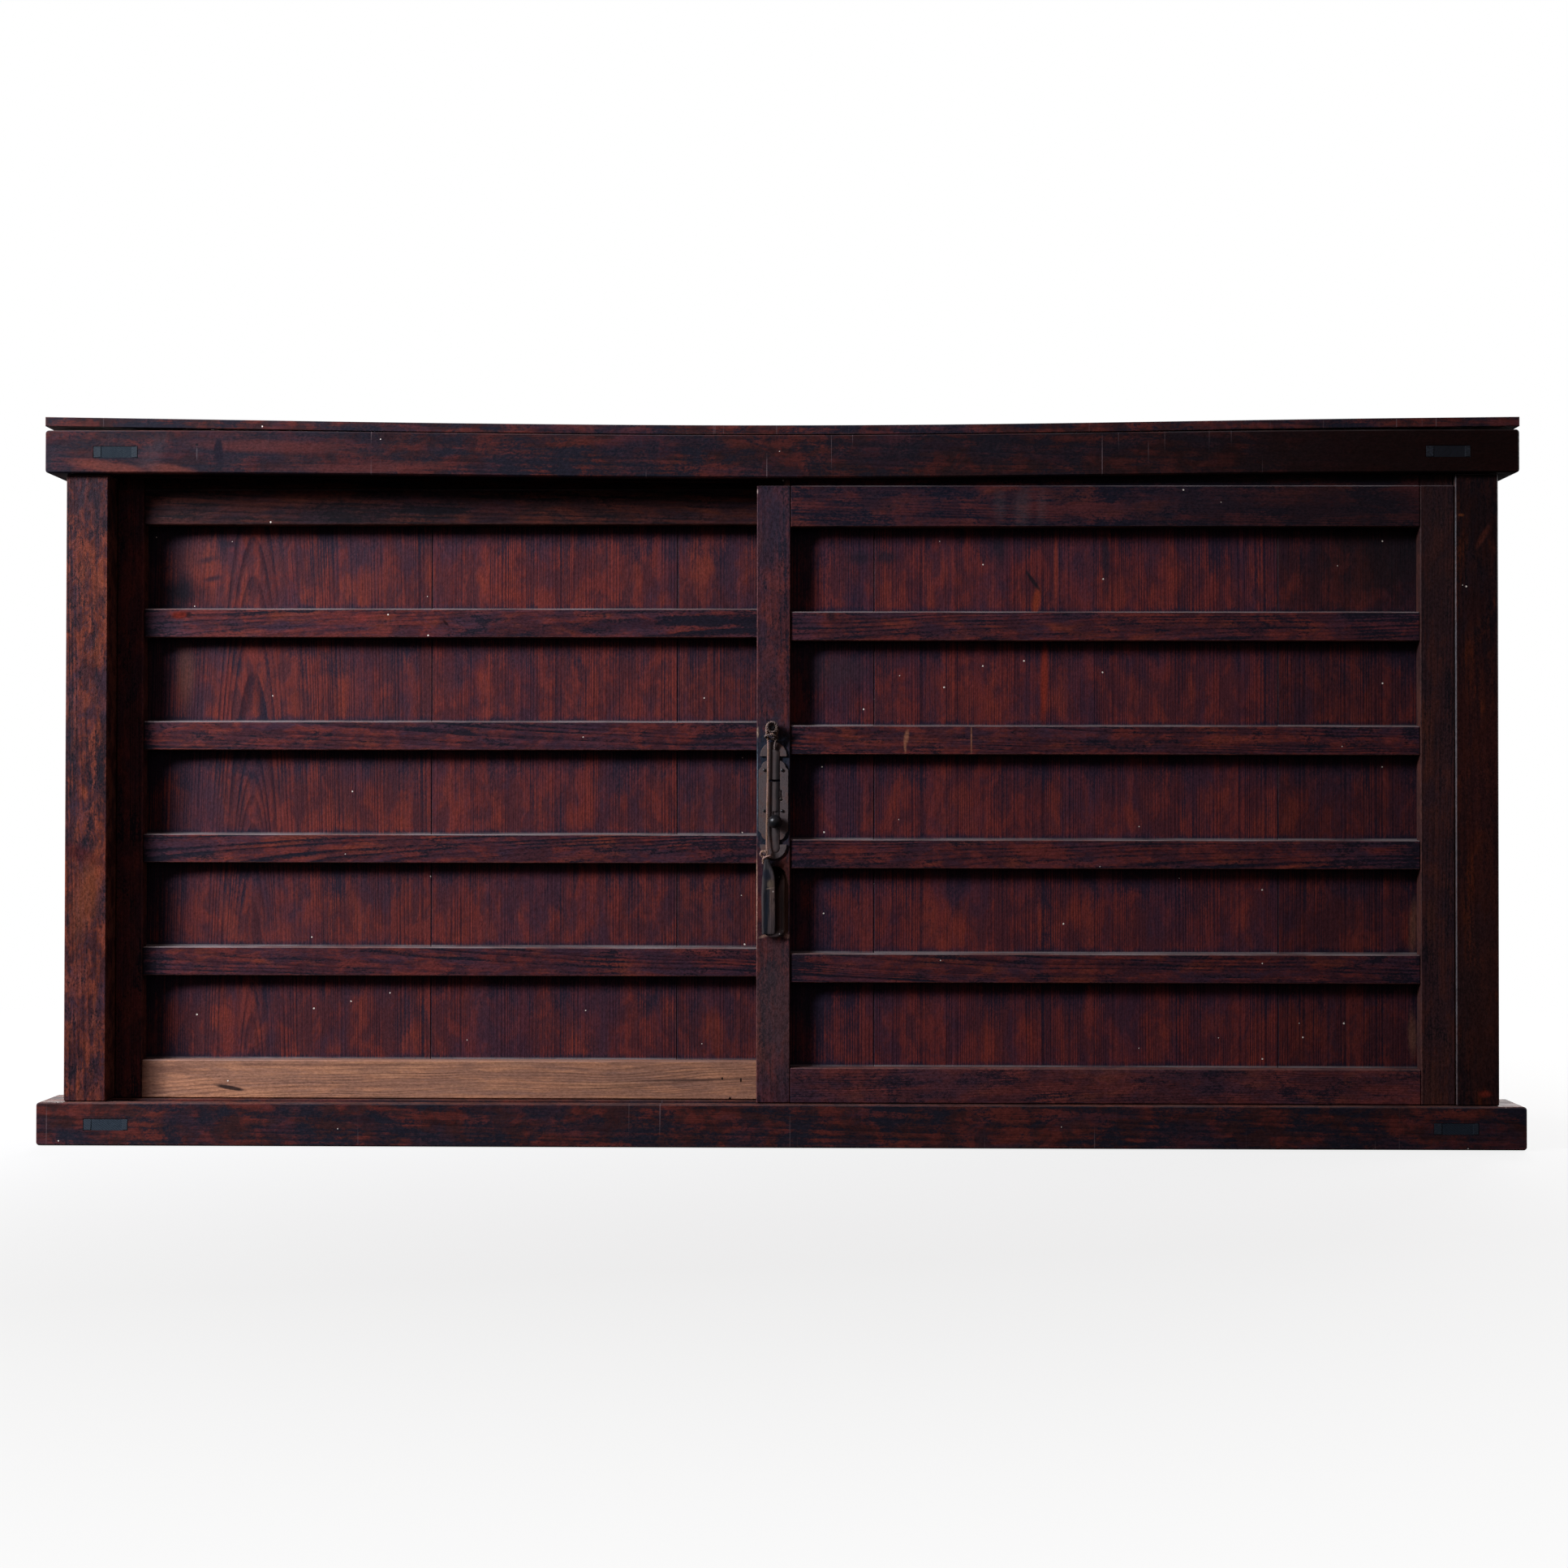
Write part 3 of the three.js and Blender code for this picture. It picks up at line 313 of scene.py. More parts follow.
KNOT_RADIUS = 1.45 * MM
KNOT_PLY_RADIUS = 0.86 * MM
KNOT_PITCH = 5.5 * MM
KNOT_TAPER = 0.4
UPPER_KNOT_ROUTE = [
    (-3.6, -8.0, -3.6), (-4.9, -8.4, 0.2), (-3.4, -8.6, 3.7), (0.4, -8.7, 5.0),
    (3.9, -8.6, 3.0), (4.9, -8.6, -0.6), (3.4, -9.2, -4.4), (-0.6, -10.0, -5.4),
    (-4.4, -10.6, -3.0), (-5.6, -10.8, 1.0), (-3.6, -10.8, 4.9), (0.6, -10.6, 6.2),
    (4.8, -10.0, 4.0), (6.0, -9.4, -0.6), (4.6, -8.6, -4.8), (2.6, -7.4, -7.6),
    (3.4, -6.2, -10.2), (5.6, -5.6, -11.0), (6.4, -5.0, -12.6), (4.6, -3.2, -14.2),
    (0.0, -3.0, -13.6), (-5.6, -4.0, -12.2), (-8.2, -7.4, -10.4), (-6.0, -11.2, -9.2),
    (-0.6, -10.8, -9.4), (4.2, -8.2, -10.6), (5.8, -5.0, -13.0), (5.0, -3.0, -15.2),
    (3.0, -3.0, -14.6), (1.8, -5.2, -12.8), (3.6, -6.6, -11.8), (5.2, -6.4, -14.0),
    (4.0, -5.0, -17.0), (3.2, -4.0, -21.0), (3.0, -3.6, -26.0),
]
LOWER_KNOT_ROUTE = [
    (-4.6, -8.2, -149.6), (-8.6, -8.6, -146.8), (-12.6, -6.4, -147.6), (-13.4, -4.4, -151.0),
    (-10.2, -4.0, -153.6), (-5.4, -3.4, -154.4), (-1.8, -5.4, -153.4), (-2.2, -8.8, -152.4),
    (-6.0, -10.0, -153.2), (-9.6, -8.8, -154.6), (-10.6, -6.6, -158.0), (-10.2, -6.0, -162.0),
]


def make_knot(name, route):
    return make_strand(name, line_through(route), KNOT_RADIUS, KNOT_PLY_RADIUS, KNOT_PITCH,
                       KNOT_TAPER)


cord_line = line_through(CORD_ROUTE)
cord = make_strand("twisted_cord", cord_line, CORD_DIAMETER / 2, CORD_PLY_RADIUS, CORD_PITCH,
                   CORD_TAPER)
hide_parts("hanging_cord")
peg = make_peg()
upper_knot = make_knot("cord_upper_knot", UPPER_KNOT_ROUTE)
lower_knot = make_knot("cord_lower_knot", LOWER_KNOT_ROUTE)


# Wedges in the ends of the through tenons, two to each

RAIL_FACE = low("front_top_rail").y
TENON_WIDTH = 53 * MM
TENON_HEIGHT = 13.5 * MM
TENON_RECESS = 0.6 * MM
WEDGE_WIDTHS = (9.2 * MM, 6.8 * MM)
WEDGE_GAP = 0.45 * MM
WEDGE_DEPTH = 4 * MM
WEDGE_BEVEL = 0.3 * MM
WEDGE_SET_BACK_SHARE = 0.25
UNEVEN_DEPTH_SHARE = 0.3
TENON_CENTRES = {
    "top_left": (-791 * MM, 825 * MM), "top_right": (791 * MM, 825 * MM),
    "bottom_left": (-799 * MM, 25 * MM), "bottom_right": (799 * MM, 25 * MM),
}


def uneven_box(name, box_low, box_high, seed):
    """A small block with soft edges, its corners off by up to the width of its bevel."""
    chance = random.Random(seed)
    corners = []
    for x in (box_low[0], box_high[0]):
        for y in (box_low[1], box_high[1]):
            for z in (box_low[2], box_high[2]):
                off = [chance.uniform(-1, 1) * WEDGE_BEVEL for _ in range(3)]
                corners.append((x + off[0], y + UNEVEN_DEPTH_SHARE * off[1], z + off[2]))
    faces = [(0, 1, 3, 2), (4, 6, 7, 5), (0, 4, 5, 1), (2, 3, 7, 6), (0, 2, 6, 4), (1, 5, 7, 3)]
    piece = add_mesh(name, corners, faces)
    soften(piece, WEDGE_BEVEL)
    return piece


def make_wedges():
    """Each wedge with the place of its tenon."""
    wedges = []
    front = RAIL_FACE + WEDGE_SET_BACK_SHARE * TENON_RECESS
    half_height = TENON_HEIGHT / 2 - WEDGE_GAP
    for place, (x, z) in TENON_CENTRES.items():
        left, right = x - TENON_WIDTH / 2, x + TENON_WIDTH / 2
        ends = {
            "left": (left + WEDGE_GAP, left + WEDGE_WIDTHS[0]),
            "right": (right - WEDGE_WIDTHS[1], right - WEDGE_GAP),
        }
        for hand, (start, end) in ends.items():
            wedge = uneven_box(
                f"{place}_{hand}_tenon_wedge",
                (start, front, z - half_height),
                (end, front + WEDGE_DEPTH, z + half_height),
                len(wedges),
            )
            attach(wedge, "case")
            wedges.append((place, wedge))
    return wedges


wedges = make_wedges()


# Material nodes

def paint(code):
    """A colour written as on screen, turned into the linear values that the nodes take."""
    parts = [int(code[i:i + 2], 16) / 255 for i in (1, 3, 5)]
    linear = [p / 12.92 if p <= 0.04045 else ((p + 0.055) / 1.055) ** 2.4 for p in parts]
    return (*linear, 1.0)


class Wires:
    """Fills one node tree by short calls that give back the socket they make. A value is a
    socket, a number, a tuple or a colour code, and None leaves an input as it is."""

    def __init__(self, owner):
        owner.use_nodes = True
        self.nodes = owner.node_tree.nodes
        self.links = owner.node_tree.links
        self.nodes.clear()

    def feed(self, socket, value):
        if isinstance(value, bpy.types.NodeSocket):
            self.links.new(value, socket)
        elif value is not None:
            socket.default_value = paint(value) if isinstance(value, str) else value

    def made(self, kind, output, *values, **settings):
        """One output of a new node, with its settings and its first inputs filled in."""
        node = self.nodes.new(f"ShaderNode{kind}")
        for setting, value in settings.items():
            setattr(node, setting, value)
        for socket, value in zip(node.inputs, values):
            self.feed(socket, value)
        return node.outputs[output]

    def named(self, kind, output, **values):
        """One output of a new node, with inputs filled in by name."""
        node = self.nodes.new(f"ShaderNode{kind}")
        for name, value in values.items():
            self.feed(node.inputs[name], value)
        return node.outputs[output]

    def out(self, kind, surface):
        self.links.new(surface, self.nodes.new(f"ShaderNodeOutput{kind}").inputs[0])

    def split(self, vector):
        return self.made("SeparateXYZ", 0, vector).node.outputs[:]

    def join(self, x, y, z):
        return self.made("CombineXYZ", 0, x, y, z)

    def length(self, vector):
        return self.made("VectorMath", "Value", vector, operation="LENGTH")

    def maths(self, operation, *values, clamp=False):
        return self.made("Math", 0, *values, operation=operation, use_clamp=clamp)

    def add(self, a, b):
        return self.maths("ADD", a, b)

    def times(self, a, b):
        return self.maths("MULTIPLY", a, b)

    def less(self, a, b):
        return self.maths("SUBTRACT", a, b)

    def both(self, a, b):
        """The product of two shares, kept between 0 and 1."""
        return self.maths("MULTIPLY", a, b, clamp=True)

    def either(self, a, b):
        """The larger of two shares."""
        return self.maths("MAXIMUM", a, b)

    def moved(self, total, layer, amount, centre=0.5):
        """A total, moved by how far a layer lies from its centre."""
        return self.add(total, self.times(self.less(layer, centre), amount))

    def ramp(self, value, start, end, first=0.0, last=1.0):
        """From first to last as the value goes from start to end, eased at both."""
        return self.made("MapRange", 0, value, start, end, first, last,
                         interpolation_type="SMOOTHSTEP")

    def mix(self, share, a, b, mode="MIX"):
        """Colour a with a share of colour b."""
        return self.made("Mix", 2, share, *[None] * 5, a, b, data_type="RGBA", blend_type=mode)

    def tint(self, colour, layer, start, end, share, other):
        """A colour with a share of another, where a layer goes from start to end."""
        return self.mix(self.ramp(layer, start, end, 0.0, share), colour, other)


class Finish(Wires):
    """The node tree of one material, with the place and the direction of each point."""

    def __init__(self, name):
        self.material = bpy.data.materials.new(name)
        super().__init__(self.material)
        self.place = self.made("TexCoord", "Object")
        self.x, self.y, self.z = self.split(self.place)
        self.nx, self.ny, self.nz = self.split(self.made("NewGeometry", "Normal"))

    def placed(self, scale, shift=(0, 0, 0), turn=(0, 0, 0), vector=None, kind="POINT"):
        """A place, or the point's own, scaled, shifted and turned."""
        vector = self.place if vector is None else vector
        return self.made("Mapping", 0, vector, shift, turn, scale, vector_type=kind)

    def noise(self, vector, detail=2.0, rough=0.5, warp=0.0):
        return self.named("TexNoise", "Fac", Vector=vector, Scale=1.0, Detail=detail,
                          Roughness=rough, Distortion=warp)

    def cells(self, vector, scale):
        """Distance to the nearest of scattered points, and a random share for each."""
        distance = self.made("TexVoronoi", "Distance", vector, None, scale,
                             voronoi_dimensions="2D")
        return distance, self.split(distance.node.outputs["Color"])[0]

    def rounded(self, radius):
        """The surface's direction, turned smoothly over sharp edges."""
        return self.made("Bevel", 0, radius)

    def bump(self, height, depth, before=None):
        """The surface's direction, tilted by a height, over that of an earlier bump."""
        return self.named("Bump", 0, Height=height, Distance=depth, Normal=before)

    def done(self, colour, roughness, normal, specular, metallic=0.0):
        """The finished material."""
        self.out("Material", self.named("BsdfPrincipled", 0, **{
            "Base Color": colour, "Roughness": roughness, "Normal": normal,
            "Specular IOR Level": specular, "Metallic": metallic,
        }))
        return self.material


# Wood

def make_tone(deep, warm, line, ink, **changes):
    """The colours of one kind of wood, and how strongly each layer shows. patch and streak are
    how often the dark stain changes along and across the grain, per metre."""
    usual = dict(
        ink_share=0.8, warm_share=0.6, line_share=0.5, level=0.5, soft=0.16, ring=3.2 * MM,
        patch=(9, 26), streak=(3, 90), line_ink=0.1, streak_ink=0.35, speckle=0.5, mottle=0.4,
        dust=0.6, specular=0.06, roughness=0.5, cool="#2b2434", cool_share=0.5,
        hot="#6f3322", hot_share=0.4, line_floor=0.25,
    )
    return SimpleNamespace(deep=deep, warm=warm, line=line, ink=ink, **(usual | changes))


RAIL = make_tone(
    "#342022", "#5f2c28", "#1a0f12", "#1b1d29", ink_share=0.92, warm_share=0.8, level=0.47,
    soft=0.12, patch=(20, 34), streak=(9, 80), speckle=0.65, dust=0.1, cool="#252537",
    hot="#602e25",
)
POST = make_tone(
    "#3b2023", "#723627", "#1a0d0f", "#17151e", ink_share=0.88, warm_share=0.8, line_share=0.6,
    level=0.52, soft=0.13, patch=(24, 52), streak=(18, 130), speckle=0.7, mottle=0.6,
    cool="#2e2636", hot="#8a4429",
)
# Right-hand post: a darker copy of POST with its own patches; the darkness is painted shade
SHADED_POST = make_tone(
    "#251415", "#391b16", "#120a0c", "#0e0e14", ink_share=0.85, line_share=0.4, level=0.48,
    soft=0.14, patch=(14, 30), streak=(12, 90), speckle=0.65, mottle=0.5, cool="#14151e",
    cool_share=0.6, hot="#5c2810", hot_share=0.65,
)
STILE = make_tone(
    "#4a272b", "#6e3430", "#1e1216", "#1d1b26", ink_share=0.85, warm_share=0.7, level=0.54,
    soft=0.09, patch=(16, 30), streak=(10, 90), speckle=0.6, mottle=0.55, dust=0.15,
    cool="#2d2838", hot="#713a28",
)
# Right-hand stiles: a darker copy of STILE, painted shade as less light reaches them
SHADED_STILE = make_tone(
    "#382326", "#4f2a24", "#1c1114", "#17151b", level=0.52, patch=(14, 34), streak=(6, 110),
    speckle=0.7, mottle=0.55, cool="#211d27", cool_share=0.6, hot="#57301f", hot_share=0.3,
)
# Rear door's top rail: a dimmed copy of the rail wood, painted shade under the case's top rail
SHADED_RAIL = make_tone(
    "#2e1b1c", "#54271e", "#140c0e", "#0f0f15", level=0.49, soft=0.12, patch=(12, 40),
    streak=(6, 110), mottle=0.45, cool="#1e1a26", hot="#5e2d1c",
)
BLUE_RAIL = make_tone(
    "#2f1e27", "#572a2a", "#160f18", "#141724", ink_share=0.9, warm_share=0.7, level=0.47,
    soft=0.08, patch=(14, 30), streak=(8, 90), cool="#25222f", hot="#5a2c20",
)
BATTEN = make_tone(
    "#40232a", "#6a2f2b", "#1c1018", "#191823", ink_share=0.9, warm_share=0.8, line_share=0.75,
    level=0.53, soft=0.08, ring=3.6 * MM, patch=(20, 50), streak=(9, 110), line_ink=0.2,
    streak_ink=0.3, speckle=0.6, mottle=0.45, cool="#342838", cool_share=0.6, hot="#7b3926",
    hot_share=0.5, line_floor=0.4,
)
PANEL = make_tone(
    "#4b272b", "#6d302b", "#25161f", "#1f1d2b", warm_share=0.8, line_share=0.85, level=0.54,
    soft=0.18, ring=3.3 * MM, patch=(14, 30), streak=(2.5, 100), line_ink=0.16, streak_ink=0.32,
    speckle=0.4, mottle=0.36, cool="#332838", cool_share=0.55, hot="#873a27", hot_share=0.42,
    line_floor=0.45,
)
RAW = make_tone(
    "#986e5b", "#bd8566", "#6a483a", "#5a4038", ink_share=0.45, warm_share=0.7, line_share=0.6,
    level=0.6, soft=0.2, patch=(9, 60), streak=(5, 160), line_ink=0.2, speckle=0.4, mottle=0.3,
    dust=0.3, cool="#7b5f58", hot="#c58f6c", line_floor=0.5,
)
SIDE = make_tone(
    "#3d2422", "#572d26", "#1e1214", "#1c191f", ink_share=0.7, warm_share=0.7, line_share=0.8,
    level=0.54, soft=0.2, ring=3.6 * MM, patch=(4, 40), streak=(2.5, 120), line_ink=0.2,
    streak_ink=0.4, cool="#2c2330", cool_share=0.35, hot="#663324", hot_share=0.2,
    line_floor=0.5,
)
HIDDEN = make_tone(
    "#5a4434", "#6d5440", "#3d2c22", "#2f2620", ink_share=0.5, warm_share=0.4, ring=4.2 * MM,
    patch=(6, 14), dust=0.3, specular=0.08, roughness=0.75, cool="#4a3a30", hot="#74583f",
)

DUST = "#8a8284"
SPECK = "#ddd3c8"
WORN = "#8a5848"
SCRATCH = "#6f5e62"
# Painted shade inside the finger recess, and paler painted light towards its right rim
RECESS_PAINTED_SHADE = "#140c09"
RECESS_RIM_PAINTED_LIGHT = "#6a4d42"
END_LINE = "#171d24"
# End grain at each tenon: copies of one slate wood, the right ones darker as painted shade
LIT_END_WOODS = {
    "top_left": "#242c34", "top_right": "#1d1d22",
    "bottom_left": "#343d47", "bottom_right": "#28303a",
}
GRAIN_ORDER = {"x": (0, 2, 1), "y": (1, 0, 2), "z": (2, 0, 1)}

# Where the growth rings centre, from a piece's own middle, foot or face, or in the frame

HEART_ASIDE = 0.03
HEART_BEHIND = 0.05
STILE_HEART = (0.3, 0.5)
BOTTOM_RAIL_HEART_UP = -0.09
BATTEN_HEARTS_UP = (-0.025, 0.03)
BATTEN_HEART_BEHIND = 0.03

# Noise rates along and across the grain, or along x and z, per metre

FIBRE_RATES = (30, 1000)
GRIT_RATES = (260, 460)
BREAK_RATES = (6, 34)
BEND_RATES = (3, 12, 12)
DRIFT_RATES = (7, 3)

# Ramps of noises: the values that each goes from and to, and for some the shares there

RING_RISE = (0.30, 0.86)
RING_FALL = (1.0, 0.90)
RING_STRENGTH = (0.32, 0.62, 0.35, 1.0)
LINE_BREAKS = (0.36, 0.60)
WARM_RAMP = (0.45, 0.58)
COOL_RAMP = (0.46, 0.64)
HOT_RAMP = (0.51, 0.70)
FIBRE_RAMP = (0.45, 0.7, 0.35)
MOTTLE_RAMP = (0.25, 0.75)
DRIFT_RAMP = (0.36, 0.62, 0.3, 1.0)
ROUGHNESS_RAMP = (0.35, 0.65)
EDGE_PATCHES = (0.4, 0.62, 0.1)
END_RING_RAMP = (0.4, 1.0, 0.75)
END_GRIT_RAMP = (0.5, 0.7, 0.5)
SCRATCH_RAMP = (0.74, 0.80)
SCRATCH_PATCHES = (0.48, 0.62)

# Ramps of the distance from an edge, a corner or a seam

EDGE_RAMP = (1.5 * MM, 0.4 * MM)
SEAM_STAIN = (1.4 * MM, 0.4 * MM, 0.0, 0.5)
# Darker beside the door's left stile: painted shade where the stile's shadow falls
BAY_LEFT_PAINTED_SHADE = (0.085, 0.02, 0.0, 0.13)
BAY_RIGHT_STAIN = (0.035, 0.0, 0.0, 0.10)
BATTEN_LEFT_STAIN = (0.06, 0.0, 0.0, 0.14)
# Darker over the right end of a batten: painted shade, for the weaker light there
BATTEN_RIGHT_PAINTED_SHADE = (0.20, 0.0, 0.0, 0.11)
BATTEN_TOP_DUST = (1.6 * MM, 0.5 * MM, 0.0, 0.75)
LEDGE_DUST = (2.6 * MM, 0.8 * MM, 0.0, 0.7)

# Ramps of the height in a bay, as a share of it, and of the surface's direction

# Darker towards the top of each bay: painted shade under the batten above
BAY_TOP_PAINTED_SHADE = (0.35, 1.0, -0.03, 0.12)
BAY_FOOT_STAIN = (0.09, 0.0, 0.0, 0.22)
FACES_UP = (0.3, 0.8)
FACES_FRONT = (-0.6, -0.8)
END_FACES_FRONT = (-0.7, -0.9)

# How much of one layer goes into another

LINE_INK_CENTRE = 0.4
FIBRE_INK = 0.16
STREAK_WARMTH = -0.5
LINE_WARMTH = -0.05
GRIT_WARMTH_SHARE = 0.5
BIAS_HOT_SHARE = 0.7
BIAS_COOL_SHARE = 0.5
STAIN_START = -0.03
EDGE_UNEVEN = 6 * MM
MARK_UNEVEN = 1.4
DUST_ROUGHNESS = 0.3
ROUGHNESS_SPREAD = (-0.08, 0.1)
LINE_HEIGHT_SHARE = 0.35
FIBRE_BUMP = 0.18 * MM
PATCH_BUMP = 1.0 * MM

YEARS_PER_METRE = 40
YEAR_SPREAD_IN_RINGS = 8
END_RING = 2.6 * MM
END_SLANT = 0.75
END_WAVE = 1.6
END_WAVE_RATE = 70
END_GRIT_RATE = 600
SPECKS_PER_METRE = 21
SPECK_SIZES = (0.011, 0.022)

# The slant of each set of scratches in radians, and its rate across

SCRATCH_SETS = ((0.9, 420), (-0.7, 360), (0.35, 300))
SCRATCH_RATE_ALONG = 5
SCRATCH_PATCH_RATE = 7


def rings(w, place, spacing, heart, slope, seed, wander):
    """Dark lines of growth rings round a heart line that runs beside or behind the face."""
    along, across, inward = w.split(place)
    bend = w.noise(w.placed(BEND_RATES, (seed * 3.7, seed * 1.9, seed * 5.3), vector=place))
    from_heart = w.less(w.moved(across, bend, wander), heart[0])
    depth = w.add(w.less(inward, heart[1]), w.times(along, slope))
    radius = w.length(w.join(from_heart, depth, 0.0))
    years = w.noise(w.join(w.times(radius, YEARS_PER_METRE), seed, 0.0), 2.0, 0.6)
    radius = w.add(radius, w.times(years, YEAR_SPREAD_IN_RINGS * spacing))
    phase = w.maths("FRACT", w.times(radius, 1 / spacing))
    line = w.both(w.ramp(phase, *RING_RISE), w.ramp(phase, *RING_FALL))
    return w.both(line, w.ramp(years, *RING_STRENGTH))


def wood_layers(w, grain, tone, box, seed, heart, slope, wander):
    """The noises that colour one piece, each stretched along its grain."""
    order = GRAIN_ORDER[grain]
    place = w.join(*((w.x, w.y, w.z)[i] for i in order))
    if heart is None:
        centre = (box[0] + box[1]) / 2
        heart = (centre[order[1]] + HEART_ASIDE, centre[order[2]] + HEART_BEHIND)
    a, b, c = seed * 2.3, seed * 4.1, seed * 1.7

    def layer(rates, detail, rough, warp=0.0, shift=(a, b, c), finer=(1, 1)):
        scale = (rates[0] * finer[0], rates[1] * finer[1], rates[1] * finer[1])
        return w.noise(w.placed(scale, shift, vector=place), detail, rough, warp)

    line = rings(w, place, tone.ring, heart, slope, seed, wander)
    breaks = w.ramp(layer(BREAK_RATES, 3.0, 0.6), *LINE_BREAKS, tone.line_floor, 1.0)
    return SimpleNamespace(
        line=w.both(line, breaks),
        fibre=layer(FIBRE_RATES, 2.0, 0.6),
        grit=layer(GRIT_RATES, 4.0, 0.8),
        patch=layer(tone.patch, 8.0, 0.68, 0.6),
        streak=layer(tone.streak, 4.0, 0.66, 0.3, (c, b, a)),
        smear=layer(tone.patch, 7.0, 0.7, 0.4, (c, b, a), (1.6, 1.2)),
        cool=layer(tone.patch, 5.0, 0.62, 0.3, (b, c, a), (0.5, 0.7)),
        hot=layer(tone.patch, 5.0, 0.62, 0.3, (c, a, b), (0.8, 1.1)),
    )


def stained(w, tone, layers, bias):
    """Warm, cool and hot tints, ring lines, fibres and dark stain, with more where bias says:
    more stain, and painted shade where bias holds it.
    """
    ink = w.moved(layers.patch, layers.line, tone.line_ink, LINE_INK_CENTRE)
    ink = w.moved(ink, layers.streak, tone.streak_ink)
    ink = w.moved(ink, layers.fibre, FIBRE_INK)
    ink = w.moved(ink, layers.grit, tone.speckle)
    hot, cool = layers.hot, layers.cool
    if bias is not None:
        darker = bias(w)
        ink = w.add(ink, darker)
        hot = w.less(hot, w.times(darker, BIAS_HOT_SHARE))
        cool = w.add(cool, w.times(darker, BIAS_COOL_SHARE))
    warm = w.moved(layers.smear, layers.streak, STREAK_WARMTH)
    warm = w.add(warm, w.times(layers.line, LINE_WARMTH))
    warm = w.moved(warm, layers.grit, GRIT_WARMTH_SHARE * tone.speckle)
    colour = w.tint(tone.deep, warm, *WARM_RAMP, tone.warm_share, tone.warm)
    colour = w.tint(colour, cool, *COOL_RAMP, tone.cool_share, tone.cool)
    colour = w.tint(colour, hot, *HOT_RAMP, tone.hot_share, tone.hot)
    colour = w.mix(w.times(layers.line, tone.line_share), colour, tone.line)
    colour = w.tint(colour, layers.fibre, *FIBRE_RAMP, tone.line)
    start, end = tone.level + STAIN_START, tone.level + tone.soft
    return w.tint(colour, ink, start, end, tone.ink_share, tone.ink)


def wood(node, grain, tone, seed, heart=None, slope=0.012, bias=None, wear=0.4, specks=0.1,
         scratches=0.0, wander=0.006, end_wood=None, more_dust=None, hollow=None):
    """Dresses a node in stained wood, with its grain along x, y or z. The rings round its
    heart drift by slope along the grain and bend by wander."""
    w = Finish(node)
    box = low(node), high(node)
    layers = wood_layers(w, grain, tone, box, seed, heart, slope, wander)
    colour = stained(w, tone, layers, bias)
    colour = w.mix(edge_wear(w, box, layers.smear, wear), colour, WORN)
    # Factors for tone, which for a piece at the right end are painted shade
    if node in TONE_AND_PAINTED_SHADE:
        colour = w.mix(1.0, colour, (*TONE_AND_PAINTED_SHADE[node], 1.0), "MULTIPLY")
    # Marks: stains and wear, and in some places painted shade and a painted highlight
    for mark in MARKS.get(node, ()):
        colour = paint_mark(w, colour, layers.smear, *mark)
    mottle = w.ramp(layers.grit, *MOTTLE_RAMP, 1 + tone.mottle, 1 - tone.mottle)
    colour = w.mix(1.0, colour, mottle, "MULTIPLY")
    # The finger recess: painted shade inside it and painted light towards its rim
    if hollow is not None:
        colour = hollow(w, colour)
    if end_wood is not None:
        facing = w.ramp(w.ny, *END_FACES_FRONT)
        colour = w.mix(facing, colour, end_colour(w, seed, end_wood))
    if scratches > 0:
        colour = w.mix(scratch_share(w, seed, scratches), colour, SCRATCH)
    colour = w.mix(speck_share(w, specks), colour, SPECK)
    dust = dust_share(w, tone, seed, more_dust)
    colour = w.mix(dust, colour, DUST)
    bare = (tone.roughness + change for change in ROUGHNESS_SPREAD)
    roughness = w.ramp(layers.patch, *ROUGHNESS_RAMP, *bare)
    roughness = w.add(roughness, w.times(dust, DUST_ROUGHNESS))
    hollows = w.add(w.times(layers.line, LINE_HEIGHT_SHARE),
                    w.times(layers.fibre, 1 - LINE_HEIGHT_SHARE))
    normal = w.bump(layers.smear, PATCH_BUMP, w.bump(w.less(1.0, hollows), FIBRE_BUMP))
    dress(node, w.done(colour, roughness, normal, tone.specular))


def dust_share(w, tone, seed, more_dust):
    """Drifts of dust on what faces up, and where more_dust says."""
    dust = w.ramp(w.nz, *FACES_UP, 0.0, tone.dust)
    if more_dust is not None:
        dust = w.either(dust, more_dust(w))
    place = w.join(w.times(w.x, DRIFT_RATES[0]), w.times(w.z, DRIFT_RATES[1]), seed)
    drift = w.noise(place, 5.0, 0.6)
    return w.both(dust, w.ramp(drift, *DRIFT_RAMP))


def end_colour(w, seed, code):
    """End grain in slate grey, crossed by slanting rings."""
    slant = w.add(w.times(w.x, END_SLANT), w.z)
    wave = w.noise(w.placed((END_WAVE_RATE, 1, END_WAVE_RATE), (seed, 0, seed)))
    phase = w.maths("FRACT", w.add(w.times(slant, 1 / END_RING), w.times(wave, END_WAVE)))
    grit = w.noise(w.placed((END_GRIT_RATE,) * 3), 2.0, 0.7)
    colour = w.tint(code, phase, *END_RING_RAMP, END_LINE)
    return w.tint(colour, grit, *END_GRIT_RAMP, END_LINE)


def edge_wear(w, box, rough, amount):
    """Lighter, rubbed wood along the edges of the face."""
    ends = (w.less(w.x, box[0].x), w.less(box[1].x, w.x))
    rims = (w.less(w.z, box[0].z), w.less(box[1].z, w.z))
    reach = w.maths("MINIMUM", w.maths("MINIMUM", *ends), w.maths("MINIMUM", *rims))
    reach = w.moved(reach, rough, EDGE_UNEVEN)
    return w.both(w.ramp(reach, *EDGE_RAMP), w.ramp(rough, *EDGE_PATCHES, amount))


